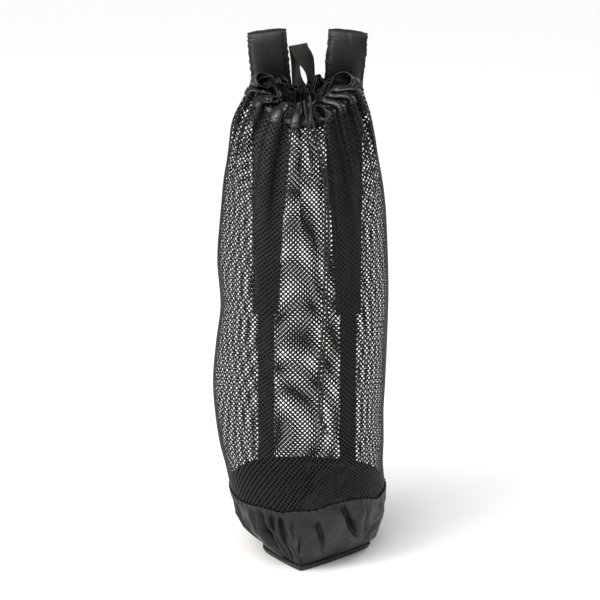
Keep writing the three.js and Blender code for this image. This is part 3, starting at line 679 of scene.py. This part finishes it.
def makeCollar():
    table = evenTable(collarSurface, 240, 2160, upright=True)
    half = collar["thick"] / 2

    def place(u, v):
        # up the outside, round the edge, down the lining and round the hem's lip
        stops = (0, 0.52, 0.57, 0.96, 1)
        climb = np.interp(v, stops, (0, 1, 1, 0, 0))
        roll = np.pi * np.interp(v, stops, (0, 0, 1, 1, 2))
        last = np.where(climb > 0.5, 1.0, 0.012)
        ahead = lookUp(table, u, last) - lookUp(table, u, last - 0.012)
        ahead /= np.maximum(np.linalg.norm(ahead, axis=1), 1e-9)[:, None]
        return lookUp(table, u, climb, half * (np.cos(roll) - 1)) + ahead * (half * np.sin(roll))[:, None]

    outer = laySheet("drawstring_collar_cloth", collar["columns"], collar["rows"], place)

    def placeInner(u, v):
        # the cloth inside the cord, drawn into small folds down the throat
        roll = 2 * np.pi * v
        down = (1 - np.cos(roll)) / 2
        bearing = 2 * np.pi * u
        fold = ripples(u, down, 29, [(15, 22, 0.15, 0.8), (22, 34, 0.3, 0.5)])
        reach = collar["throat"] + 0.0005 + 0.0022 * fold + collar["flare"] * down**1.5 + half * np.sin(roll)
        top = collar["innerTop"] + 0.004 * np.sin(bearing) + 0.0012 * fold
        return np.stack([reach * np.cos(bearing), reach * np.sin(bearing),
                         top + (collar["innerFoot"] - top) * down], axis=1)

    inner = laySheet("collar_throat", collar["innerColumns"], collar["innerRows"], placeInner)
    hemRow = seamStitches("collar_stitches", table, collar["hemLine"], collar["stitches"], 0.003, 0.0008)
    piece = joinPieces([outer, inner, hemRow], "drawstring_collar_cloth")
    smoothShade(piece)
    return piece, table


# the base
base = {"columns": 600, "rows": 56, "thick": 0.0010, "hem": 0.009, "overlap": 0.003, "pucker": 0.0008,
        "crumple": 0.0020, "fold": 1.25, "tuck": 0.0018, "slideFrom": 186, "slideIn": 0.008,
        "slideForward": 0.016, "stitches": 150, "stitchLine": 0.0045}
# bearing at the seam, lean by the floor and half width in degrees, and the share of the crease depth
baseCreases = np.array([
    (20, 4, 9, 0.6), (62, -6, 8, 0.7), (104, 5, 9, 0.6), (146, -4, 8, 0.7), (186, 8, 8, 0.5),
    (229, 26, 7, 0.9), (251, 14, 7, 0.9), (276, 6, 7, 0.8), (303, 8, 8, 1.0), (333, -4, 8, 0.6),
])
# sharper creases: bearing at the seam and at the floor, the drops where each starts and ends, its half
# width in degrees and its depth
sharpCreases = np.array([
    (229, 226, 0.02, 0.6, 1.6, 0.004), (237, 236, 0.02, 0.98, 2.6, 0.0085),
    (247, 241, 0.02, 0.98, 1.8, 0.006), (256, 246, 0.02, 0.95, 1.5, 0.005),
    (266, 258, 0.1, 0.55, 1.6, 0.0035), (276, 262, 0.35, 0.8, 1.8, 0.004),
    (276, 302, 0.15, 0.85, 2.2, 0.006), (296, 337, 0.02, 0.72, 2.6, 0.0085),
    (318, 334, 0.02, 0.62, 2.2, 0.005), (338, 330, 0.45, 0.8, 2.0, 0.004),
    (352, 346, 0.05, 0.7, 2.6, 0.0045), (24, 30, 0.05, 0.8, 2.6, 0.005), (52, 44, 0.05, 0.7, 2.2, 0.0045),
    (83, 90, 0.05, 0.8, 2.6, 0.0055), (118, 108, 0.05, 0.75, 2.6, 0.005), (150, 158, 0.05, 0.8, 2.4, 0.005),
    (178, 172, 0.05, 0.75, 2.4, 0.005), (206, 212, 0.05, 0.8, 2.2, 0.005),
])


def degreesFrom(turn, bearing):
    return (turn * 360 - bearing + 180) % 360 - 180


def settle(turn, drop, x, y):
    # the left corner of the base has slid forward under the load
    near = bell(degreesFrom(turn, base["slideFrom"]), 30) * smoothStep(drop, 0.35, 1)
    return x + base["slideIn"] * near, y - base["slideForward"] * near


def baseSurface(turn, climb):
    # climb runs from the panel's edge at 0 up to just above the seam at 1
    lowest = 1 - sack["panelRise"] / sack["seam"]
    highest = -base["overlap"] / sack["seam"]
    drop = lowest + (highest - lowest) * (climb + 0 * turn)
    held = np.clip(drop, 0, 1)
    x, y = settle(turn, held, *outline(rowAt(baseSections, held), turn))
    fade = np.sin(np.pi * np.minimum(held / 0.9, 1))**0.7
    relief = 0 * x
    for bearing, lean, halfWidth, depth in baseCreases:
        relief = relief - depth * bell(degreesFrom(turn, bearing + lean * held), halfWidth)
    relief = relief * sack["creaseDepth"] * fade
    for top, bottom, start, end, halfWidth, depth in sharpCreases:
        offset = degreesFrom(turn, top + (bottom - top) * held) / halfWidth
        there = smoothStep(drop, start - 0.05, start + 0.12) * (1 - smoothStep(drop, end - 0.25, end + 0.02))
        # a fold stands up beside each crease
        across = 0.5 * bell(offset + 2.2, 1.5) - np.exp(-np.abs(offset)**1.2)
        relief = relief + base["fold"] * depth * there * across
    broken = ripples(turn, drop, 31, [(6, 14, 1.6, 0.7), (14, 30, 2.6, 0.4)])
    relief = relief + base["crumple"] * fade * (0.5 - 1.4 * np.abs(broken))
    fromTop = (drop - highest) * sack["seam"]
    gather = np.exp(-fromTop / 0.014)
    relief = relief + base["pucker"] * gather * ripples(turn, drop, 37, [(58, 84, 0.4, 1.0)])
    relief = relief + 0.0012 * (1 - smoothStep(fromTop, base["hem"], base["hem"] + 0.0015))
    relief = relief - 0.0007 * bell(fromTop - base["stitchLine"], 0.0008)
    # drawn in where it meets the panel's edge
    relief = relief - base["tuck"] * np.exp(-(lowest - drop) * sack["seam"] / 0.004)
    levelX, levelY = levelOut(x, y)
    z = sack["seam"] * (1 - drop) + seamShift(turn) * (1 - smoothStep(drop, 0, 0.6))
    return np.stack([x + levelX * relief, y + levelY * relief, z + 0 * x], axis=-1)


def makeBase():
    table = evenTable(baseSurface, 240)
    piece = laySheet("base_band_cloth", base["columns"], base["rows"], lambda u, v: lookUp(table, u, v))
    useModifier(piece, "SOLIDIFY", thickness=base["thick"], offset=-1, use_even_offset=False)
    stitchedAt = 1 - base["stitchLine"] / table["height"]
    seamRow = seamStitches("base_stitches", table, stitchedAt, base["stitches"], 0.0032, 0.0009)
    piece = joinPieces([piece, seamRow], "base_band_cloth")
    smoothShade(piece)
    return piece, table


panel = {"columns": 256, "flatRows": 14, "sideRows": 14, "lip": 0.0012, "thick": 0.0016, "upright": 0.75}


def makePanel():
    # the flat underneath, its turned edge and the seam that joins it to the band
    rows = panel["flatRows"] + panel["sideRows"]
    corner = panel["flatRows"] / rows

    def place(u, v):
        turn = u + 0.25
        flat = np.clip(v / corner, 0, 1)
        side = np.clip((v - corner) / (1 - corner), 0, 1)
        height = 1.05 * sack["panelRise"] * side
        drop = np.clip(1 - height / sack["seam"], 0, 1)
        upright = drop - (drop - (1 - sack["panelRise"] / sack["seam"])) * panel["upright"]
        x, y = settle(turn, drop, *outline(rowAt(baseSections, upright), turn))
        lip = panel["lip"] * bell(side - 0.7, 0.2) - 0.003 * (1 - smoothStep(side, 0, 0.3))
        size = np.maximum(np.hypot(x, y), 1e-9)
        x, y = x * (1 + lip / size) * flat**0.9, y * (1 + lip / size) * flat**0.9
        z = 0.0001 + height * smoothStep(side, 0.0, 0.3)
        return np.stack([x, y, z], axis=1)

    piece = laySheet("base_panel_cloth", panel["columns"], rows, place)
    useModifier(piece, "SOLIDIFY", thickness=panel["thick"], offset=-1, use_even_offset=False)
    smoothShade(piece)
    return piece


# shoulder straps
strap = {"width": 0.056, "thick": 0.010, "steps": 260, "around": 60, "waist": 0.7, "foldAt": 0.417,
         "flat": 0.62, "slant": 6.5, "pucker": 0.0008, "stitchStep": 0.006, "stitchLine": 0.872, "smooth": 50}
# place in the strap's own box: across, behind on the left and on the right, and height
strapLine = np.array([
    (0.558, 0.216, 0.244, 0.716), (0.558, 0.185, 0.205, 0.741), (0.558, 0.154, 0.166, 0.766),
    (0.561, 0.122, 0.126, 0.791), (0.552, 0.092, 0.091, 0.82), (0.517, 0.066, 0.066, 0.861),
    (0.486, 0.058, 0.058, 0.901), (0.459, 0.067, 0.067, 0.939), (0.446, 0.09, 0.09, 0.966),
    (0.441, 0.123, 0.123, 0.984), (0.439, 0.175, 0.175, 0.989), (0.44, 0.232, 0.232, 0.987),
    (0.45, 0.284, 0.284, 0.97), (0.465, 0.324, 0.324, 0.942), (0.493, 0.369, 0.369, 0.904),
    (0.515, 0.417, 0.417, 0.86), (0.522, 0.477, 0.477, 0.803), (0.521, 0.565, 0.565, 0.731),
    (0.508, 0.701, 0.701, 0.638), (0.484, 0.814, 0.814, 0.531), (0.45, 0.898, 0.898, 0.411),
    (0.421, 0.938, 0.938, 0.298), (0.396, 0.942, 0.942, 0.189), (0.381, 0.919, 0.919, 0.093),
    (0.37, 0.881, 0.881, 0.003),
])
# a quarter of the section, from the bound edge in to the middle: shares of half the width and thickness
strapSection = np.array([
    (1.0, 0.0), (0.996, 0.1), (0.98, 0.17), (0.95, 0.2), (0.915, 0.18), (0.885, 0.13), (0.87, 0.11),
    (0.855, 0.17), (0.825, 0.34), (0.77, 0.52), (0.69, 0.68), (0.56, 0.82), (0.38, 0.93), (0.19, 0.985),
    (0.0, 1.0),
])


def loopSection(quarter, points):
    # the quarter mirrored into a whole loop and spaced out, a step through counting 0.35 of one across
    loop = np.concatenate([
        quarter, (quarter * (-1, 1))[::-1][1:], (quarter * (-1, -1))[1:], (quarter * (1, -1))[::-1][1:],
    ])
    reach = np.concatenate([[0], np.cumsum(np.hypot(*(np.diff(loop, axis=0) * (1, 0.35)).T))])
    even = np.linspace(0, reach[-1], points + 1)
    return np.stack([np.interp(even, reach, loop[:, 0]), np.interp(even, reach, loop[:, 1])], axis=1)


def bandAlong(name, path, across, section, around, sizeAt, reliefAt=None):
    # a band swept on a path: u runs round its section and v along it
    _, side, through = framesAlong(path, across)
    loop = loopSection(section, around)

    def place(u, v):
        centre, sideways, outwards = betweenFrames(path, side, through, v)
        # round the section backwards, so that the faces point out
        turn = (1 - u) * around
        x, y = (np.interp(turn, np.arange(around + 1), loop[:, axis]) for axis in (0, 1))
        halfWidth, halfThick = sizeAt(v)
        shiftX, shiftY = reliefAt(x, y, v) if reliefAt else (0, 0)
        return (centre + sideways * (x * halfWidth + shiftX)[:, None]
                + outwards * (y * halfThick + shiftY)[:, None])

    band = laySheet(name, around, len(path) - 1, place)
    closeEnds(band)
    return band


def inBox(box, shares):
    # shares of a CAD node's box turned into places
    low, high = (np.array(corner) for corner in box)
    return low + shares * (high - low)


def makeStrap(side):
    across = strapLine[:, 0] if side == "left" else 1 - strapLine[:, 0]
    behind = strapLine[:, 1] if side == "left" else strapLine[:, 2]
    line = inBox(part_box("shoulder_strap_" + side), np.stack([across, behind, strapLine[:, 3]], axis=1))
    path = alongRoute(line, strap["steps"] + 1)
    length = lengthOf(path)
    seed = 41 if side == "left" else 43

    def sizeAt(v):
        waist = 1 - (1 - strap["waist"]) * smoothStep(v, 0.7, 1)
        folded = bell(v - strap["foldAt"], 0.075)
        return strap["width"] / 2 * waist, strap["thick"] / 2 * (1 - strap["flat"] * folded)

    def reliefAt(x, y, v):
        # puckers pull in along the binding, and a soft crease runs down the middle of the pad
        bound = bell(np.abs(x) - 0.84, 0.07)
        pull = ripples(0.5 * np.sign(x), v * length / 0.011, seed, [(1, 1, 1.0, 0.7)])
        crease = bell(x - 0.25 * np.sin(v * 9), 0.10) * (0.6 + 0.4 * np.sin(v * 23 + seed))
        soft = ripples(0.15 * x, v * length / 0.06, seed + 5, [(1, 2, 1.0, 0.5)])
        lift = np.sign(y) * (0.0004 * bound * pull - 0.0006 * crease + 0.0004 * soft * (1 - x**2))
        return strap["pucker"] * pull * np.abs(x)**6 * np.sign(x), lift

    # the fold at the top slants, higher towards the middle of the bag
    share = np.linspace(0, 1, len(path))
    slant = np.radians(strap["slant"]) * bell(share - 0.43, 0.15) * (1 if side == "left" else -1)
    across = np.stack([np.cos(slant), 0 * slant, np.sin(slant)], axis=1)
    piece = bandAlong("padded_strap_" + side, path, across, strapSection, strap["around"], sizeAt, reliefAt)
    # a row of stitches along each binding, on both faces
    forward, sideways, outwards = framesAlong(path, across)
    places, ahead, outward = [], [], []
    for share in np.arange(0.006, 0.994, strap["stitchStep"] / length):
        at = int(round(share * strap["steps"]))
        halfWidth, halfThick = sizeAt(share)
        for edge in (-1, 1):
            for face in (-1, 1):
                places.append(path[at] + sideways[at] * edge * halfWidth * strap["stitchLine"]
                              + outwards[at] * face * (halfThick * 0.11 + 0.0002))
                ahead.append(forward[at])
                outward.append(outwards[at] * face)
    row = sewn("strap_stitches", places, ahead, outward, 0.0030, 0.0008)
    piece = joinPieces([piece, row], "padded_strap_" + side)
    smoothShade(piece, strap["smooth"])
    return piece


# webbing
webbing = {"width": 0.025, "thick": 0.002, "steps": 150, "around": 20, "tackRows": (124, 128, 144, 148),
           "slant": 10, "smooth": 40}
webbingLine = np.array([
    (0.5, 0.98, 1.0), (0.5, 0.917, 0.865), (0.5, 0.849, 0.73), (0.5, 0.768, 0.593), (0.5, 0.675, 0.459),
    (0.5, 0.592, 0.344), (0.5, 0.471, 0.242), (0.5, 0.297, 0.183), (0.5, 0.139, 0.131), (0.5, 0.099, 0.097),
    (0.5, 0.078, 0.064), (0.5, 0.049, 0.032), (0.5, 0.02, 0.001),
])
webbingSection = np.array([(1.0, 0.0), (0.995, 0.55), (0.97, 0.95), (0.90, 1.0), (0.5, 0.98), (0.0, 1.0)])


def webbingSize(v):
    # half the width and half the thickness, the same all along
    return webbing["width"] / 2, webbing["thick"] / 2


def makeWebbing(side):
    path = alongRoute(inBox(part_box("strap_webbing_" + side), webbingLine), webbing["steps"] + 1)
    across = (1, 0, 0)
    piece = bandAlong("webbing_band_" + side, path, across, webbingSection, webbing["around"], webbingSize)
    # bar tacks across the end that is sewn to the base
    _, sideways, outwards = framesAlong(path, across)
    spots = [(row, share) for row in webbing["tackRows"] for share in np.linspace(-0.8, 0.8, 9)]
    places = [path[row] + sideways[row] * share * webbing["width"] / 2
              - outwards[row] * (webbing["thick"] / 2) for row, share in spots]
    ahead, outward = [sideways[row] for row, _ in spots], [-outwards[row] for row, _ in spots]
    tacks = sewn("webbing_tacks", places, ahead, outward, 0.0026, 0.0009)
    piece = joinPieces([piece, tacks], "webbing_band_" + side)
    smoothShade(piece, webbing["smooth"])
    return piece


# place in the loop's own box, and how far it is turned about its line, in degrees
loopLine = np.array([
    (0.7, 0.438, 0.004, 0), (0.69, 0.363, 0.101, 8), (0.675, 0.278, 0.207, 30), (0.668, 0.244, 0.266, 50),
    (0.65, 0.247, 0.364, 64), (0.62, 0.27, 0.486, 60), (0.57, 0.29, 0.6, 46), (0.5, 0.277, 0.704, 26),
    (0.41, 0.253, 0.8, 12), (0.345, 0.282, 0.862, 8), (0.305, 0.34, 0.928, 6), (0.29, 0.427, 0.958, 8),
    (0.267, 0.582, 0.932, 2), (0.24, 0.757, 0.866, -14), (0.22, 0.849, 0.801, -34), (0.2, 0.85, 0.703, -52),
    (0.195, 0.799, 0.599, -62), (0.2, 0.679, 0.484, -64), (0.225, 0.54, 0.364, -58),
    (0.265, 0.49, 0.266, -44), (0.3, 0.5, 0.207, -28), (0.34, 0.559, 0.101, -8), (0.364, 0.641, 0.004, 0),
])


def makeLoop():
    count = webbing["steps"] + 1
    path = alongRoute(inBox(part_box("grab_loop"), loopLine[:, :3]), count)
    share = np.linspace(0, 1, count)
    turns = np.stack([np.linspace(0, 1, len(loopLine)), loopLine[:, 3]], axis=1)
    angle = np.radians(rowAt(turns, share)[:, 1])
    slant = np.radians(webbing["slant"]) * bell(share - 0.5, 0.14)
    across = np.stack([np.cos(angle), np.sin(angle), np.sin(slant)], axis=1)
    piece = bandAlong("grab_loop_band", path, across, webbingSection, webbing["around"], webbingSize)
    smoothShade(piece, webbing["smooth"])
    return piece


# materials
# tones: scale and detail of the noise that varies the colour, and its two ends; gloss: scale of the noise
# that varies the roughness, and its two ends; grain: scale of the fine noise; crinkle: scale, strength
# and depth; weave: a thread's pitch round and up in metres, strength and depth
looks = {
    "blackKnittedNet": {
        "colour": (0.006, 0.0056, 0.0052), "roughness": 0.36, "shine": 0.22,
        "tones": (55, 4, (0.003, 0.0028, 0.0026), (0.0075, 0.007, 0.0064)), "grain": 2600,
    },
    "glossyBlackNylon": {
        "colour": (0.0045, 0.0041, 0.0039), "roughness": 0.3, "shine": 0.5, "gloss": (70, 0.26, 0.40),
        "crinkle": (210, 0.16, 0.0010), "weave": (0.0009, 0.0009, 0.25, 0.00012),
    },
    "charcoalNylon": {
        "colour": (0.0105, 0.0091, 0.0088), "roughness": 0.4, "shine": 0.3,
        "tones": (26, 6, (0.0075, 0.0065, 0.0063), (0.0135, 0.0118, 0.0114)),
        "crinkle": (120, 0.3, 0.0014), "weave": (0.0011, 0.0011, 0.5, 0.0002),
    },
    "satinBlackNylon": {
        "colour": (0.004, 0.0037, 0.0036), "roughness": 0.34, "shine": 0.38, "gloss": (60, 0.3, 0.44),
        "crinkle": (90, 0.35, 0.0014), "weave": (0.0008, 0.0008, 0.35, 0.00018),
    },
    "oliveGreyWebbing": {
        "colour": (0.017, 0.016, 0.0135), "roughness": 0.68, "shine": 0.2, "sheen": 0.05,
        "tones": (300, 4, (0.012, 0.0115, 0.010), (0.022, 0.0212, 0.0182)),
        "weave": (0.0017, 0.0013, 0.8, 0.0004),
    },
    "braidedCord": {
        "colour": (0.016, 0.0148, 0.0125), "roughness": 0.7, "shine": 0.2, "sheen": 0.08,
        "tones": (900, 3, (0.009, 0.0083, 0.0075), (0.026, 0.0238, 0.0205)), "grain": 2400,
    },
    "paleFloor": {"colour": (0.90, 0.90, 0.90), "roughness": 0.8, "shine": 0.2},
}


def addNode(tree, kind, **settings):
    node = tree.nodes.new(kind)
    for key, value in settings.items():
        if key in node.inputs:
            node.inputs[key].default_value = value
        else:
            setattr(node, key, value)
    return node


def objectNoise(tree, scale, detail=4, roughness=0.55):
    place = addNode(tree, "ShaderNodeTexCoord")
    noise = addNode(tree, "ShaderNodeTexNoise", Scale=scale, Detail=detail, Roughness=roughness)
    tree.links.new(place.outputs["Object"], noise.inputs["Vector"])
    return noise


# the part of a noise's range that is spread out over a change
noiseSpan = (0.3, 0.7)


def varyColour(tree, shader, noise, dark, light):
    ramp = addNode(tree, "ShaderNodeValToRGB")
    for element, position, colour in zip(ramp.color_ramp.elements, noiseSpan, (dark, light)):
        element.position = position
        element.color = (*colour, 1)
    tree.links.new(noise.outputs["Fac"], ramp.inputs["Fac"])
    tree.links.new(ramp.outputs["Color"], shader.inputs["Base Color"])


def varyRoughness(tree, shader, noise, low, high):
    span = addNode(tree, "ShaderNodeMapRange")
    for key, value in zip(("From Min", "From Max", "To Min", "To Max"), (*noiseSpan, low, high)):
        span.inputs[key].default_value = value
    tree.links.new(noise.outputs["Fac"], span.inputs["Value"])
    tree.links.new(span.outputs["Result"], shader.inputs["Roughness"])


def bumpOf(tree, height, strength, distance, before=None):
    bump = addNode(tree, "ShaderNodeBump", Strength=strength, Distance=distance)
    tree.links.new(height, bump.inputs["Height"])
    if before is not None:
        tree.links.new(before.outputs["Normal"], bump.inputs["Normal"])
    return bump


def weaveHeight(tree, roundCount, upCount):
    # two sets of threads across each other, on the piece's own UVs
    place = addNode(tree, "ShaderNodeUVMap")
    mapping = addNode(tree, "ShaderNodeMapping")
    mapping.inputs["Scale"].default_value = (roundCount, upCount, 1)
    tree.links.new(place.outputs["UV"], mapping.inputs["Vector"])
    waves = []
    for direction in ("X", "Y"):
        wave = addNode(tree, "ShaderNodeTexWave", wave_type="BANDS", bands_direction=direction,
                       wave_profile="SIN", Scale=0.314, Distortion=0.4)
        wave.inputs["Detail"].default_value = 1
        tree.links.new(mapping.outputs["Vector"], wave.inputs["Vector"])
        waves.append(wave)
    both = addNode(tree, "ShaderNodeMath", operation="MULTIPLY")
    tree.links.new(waves[0].outputs["Fac"], both.inputs[0])
    tree.links.new(waves[1].outputs["Fac"], both.inputs[1])
    return both


def makeMaterial(name, girth=1.0, height=1.0):
    # girth and height are the real size of the piece's UVs, for the threads of its weave
    look = looks[name]
    material = bpy.data.materials.new(name)
    material.use_nodes = True
    tree = material.node_tree
    shader = tree.nodes["Principled BSDF"]
    shader.inputs["Base Color"].default_value = (*look["colour"], 1)
    shader.inputs["Roughness"].default_value = look["roughness"]
    shader.inputs["Specular IOR Level"].default_value = look["shine"]
    if "sheen" in look:
        shader.inputs["Sheen Weight"].default_value = look["sheen"]
        shader.inputs["Sheen Roughness"].default_value = 0.5
    if "tones" in look:
        scale, detail, dark, light = look["tones"]
        varyColour(tree, shader, objectNoise(tree, scale, detail), dark, light)
    if "gloss" in look:
        scale, low, high = look["gloss"]
        varyRoughness(tree, shader, objectNoise(tree, scale), low, high)
    bump = None
    if "grain" in look:
        bump = bumpOf(tree, objectNoise(tree, look["grain"], 2).outputs["Fac"], 0.5, 0.0003)
    if "crinkle" in look:
        scale, strength, depth = look["crinkle"]
        bump = bumpOf(tree, objectNoise(tree, scale, 5, 0.6).outputs["Fac"], strength, depth)
    if "weave" in look:
        pitchRound, pitchUp, strength, depth = look["weave"]
        threads = weaveHeight(tree, girth / pitchRound, height / pitchUp)
        bump = bumpOf(tree, threads.outputs["Value"], strength, depth, bump)
    if bump is not None:
        tree.links.new(bump.outputs["Normal"], shader.inputs["Normal"])
    return material


# the drawcord
def makeCord(side):
    path = alongRoute(cordRoutes[side], cord["steps"] + 1)
    length = lengthOf(path)
    turns = length / cord["plaitLength"]

    def plait(u, v):
        # two sets of strands wound against each other
        one = np.sin(2 * np.pi * (3 * u + v * turns))
        two = np.sin(2 * np.pi * (3 * u - v * turns))
        return cord["plaitDepth"] * np.maximum(one, two) - 0.00010

    piece = tubeAlong("cord_strand_" + side, path, cord["diameter"] / 2, cord["sides"], plait)
    smoothShade(piece)
    return piece, path, length


def makeKnot():
    # 2.3 turns of cord round two cores, and the two tails
    at = np.array(cord["knotAt"])
    radius = cord["diameter"] / 2
    pieces = []
    turns = np.linspace(0, 2.3 * 2 * np.pi, 90)
    winding = np.stack([0.0030 * np.cos(turns + 0.6), 0.0026 * np.sin(turns + 0.6),
                        0.0036 - 0.0072 * turns / turns[-1]], axis=1)
    lean = np.array(Matrix.Rotation(math.radians(14), 3, "Y"))
    pieces.append(tubeAlong("knot_winding", at + winding @ lean.T, radius * 0.95, 12, across=(0, 0, 1)))
    for name, offset in (("a", -0.0013), ("b", 0.0013)):
        ways = [(offset * 1.3, 0.0004, 0.0062), (offset, 0, 0.002), (offset * 0.6, 0, -0.0035)]
        pieces.append(tubeAlong("knot_core_" + name, alongRoute([at + way for way in ways], 24), radius, 12))
    for index, tail in enumerate(cordTails):
        path = alongRoute(tail, 40)
        pieces.append(tubeAlong("knot_tail_%d" % index, path, lambda v: radius * (1 - 0.25 * v), 12))
        end = path[-1]
        dice = np.random.default_rng(60 + index)
        for _ in range(26):
            # frayed threads past the cut end
            spread = dice.normal(0, 1, 3) * (0.0018, 0.0009, 0.0012)
            start = path[-6] + dice.normal(0, 0.0005, 3)
            reach = end + spread + (0.0008, 0, -dice.uniform(0.001, 0.005))
            thread = alongRoute([start, (start + reach) / 2 + dice.normal(0, 0.0005, 3), reach], 7)
            pieces.append(tubeAlong("fray", thread, 0.00022, 5))
    knot = joinPieces(pieces, "cord_knot_tied")
    smoothShade(knot)
    return knot


cordMaterial = makeMaterial("braidedCord")
strands = {side: makeCord(side) for side in ("left", "right")}
knot = makeKnot()
finishPiece(knot, ["cord_knot"], cordMaterial)
for side, (piece, path, length) in strands.items():
    finishPiece(piece, ["draw_cord_" + side], cordMaterial)
print("drawcord hung and knotted")

netTable = evenTable(netSurface, 480)
tile = netTile()
netMaterial = makeMaterial("blackKnittedNet")
for index in range(net["bands"]):
    band = netBand(tile, netTable, index)
    finishPiece(band, ["mesh_sack"], netMaterial)
bpy.data.objects.remove(tile, do_unlink=True)
print("net knitted, girth %.3f m" % netTable["girth"])

collarPiece, collarTable = makeCollar()
collarMaterial = makeMaterial("glossyBlackNylon", collarTable["girth"], collarTable["height"])
finishPiece(collarPiece, ["drawstring_collar"], collarMaterial)
print("collar gathered")

basePiece, baseTable = makeBase()
baseMaterial = makeMaterial("charcoalNylon", baseTable["girth"], baseTable["height"])
finishPiece(basePiece, ["base_band"], baseMaterial)
panelPiece = makePanel()
finishPiece(panelPiece, ["base_panel"], baseMaterial)
print("base sewn")

strapMaterial = makeMaterial("satinBlackNylon", 0.12, 0.55)
webbingMaterial = makeMaterial("oliveGreyWebbing", 0.054, 0.26)
for side in ("left", "right"):
    pad = makeStrap(side)
    finishPiece(pad, ["shoulder_strap_" + side], strapMaterial)
    band = makeWebbing(side)
    finishPiece(band, ["strap_webbing_" + side], webbingMaterial)
loopBand = makeLoop()
finishPiece(loopBand, ["grab_loop"], webbingMaterial)
print("straps, webbing and loop made")

# studio
studio = {"floor": 40.0, "world": 0.36, "sun": 2.8,
          "sunAt": (-1.4, -2.2, 3.5), "sunAngle": 60, "warm": (1.0, 0.93, 0.86)}


def areaLight(name, place, aim, size, power, colour=(1, 1, 1)):
    bpy.ops.object.light_add(type="AREA", location=place)
    light = bpy.context.object
    light.name = name
    light.data.shape = "RECTANGLE"
    light.data.size, light.data.size_y = size
    light.data.energy = power
    light.data.color = colour
    light.rotation_euler = (Vector(aim) - Vector(place)).to_track_quat("-Z", "Y").to_euler()


def setStudio():
    bpy.ops.mesh.primitive_plane_add(size=studio["floor"], location=(0, 0, 0))
    floor = bpy.context.object
    floor.name = "floor"
    floor.data.materials.append(makeMaterial("paleFloor"))
    world = bpy.data.worlds.new("studioWorld")
    world.use_nodes = True
    glow = world.node_tree.nodes["Background"]
    glow.inputs["Color"].default_value = (1, 1, 1, 1)
    glow.inputs["Strength"].default_value = studio["world"]
    bpy.context.scene.world = world
    bpy.context.scene.view_settings.view_transform = "Standard"
    bpy.ops.object.light_add(type="SUN", location=studio["sunAt"])
    sun = bpy.context.object
    sun.rotation_euler = (-Vector(studio["sunAt"])).to_track_quat("-Z", "Y").to_euler()
    sun.name = "evenLight"
    sun.data.energy = studio["sun"]
    sun.data.angle = math.radians(studio["sunAngle"])
    areaLight("keyLight", (-1.6, -1.3, 2.3), (0, 0, 0.5), (1.1, 1.1), 32, studio["warm"])
    areaLight("sideLight", (-1.9, -1.0, 0.7), (0, 0, 0.1), (0.4, 0.8), 15, studio["warm"])
    areaLight("rimLight", (1.6, 0.9, 1.9), (0, 0, 0.6), (0.5, 0.9), 15)


setStudio()
print("studio set")
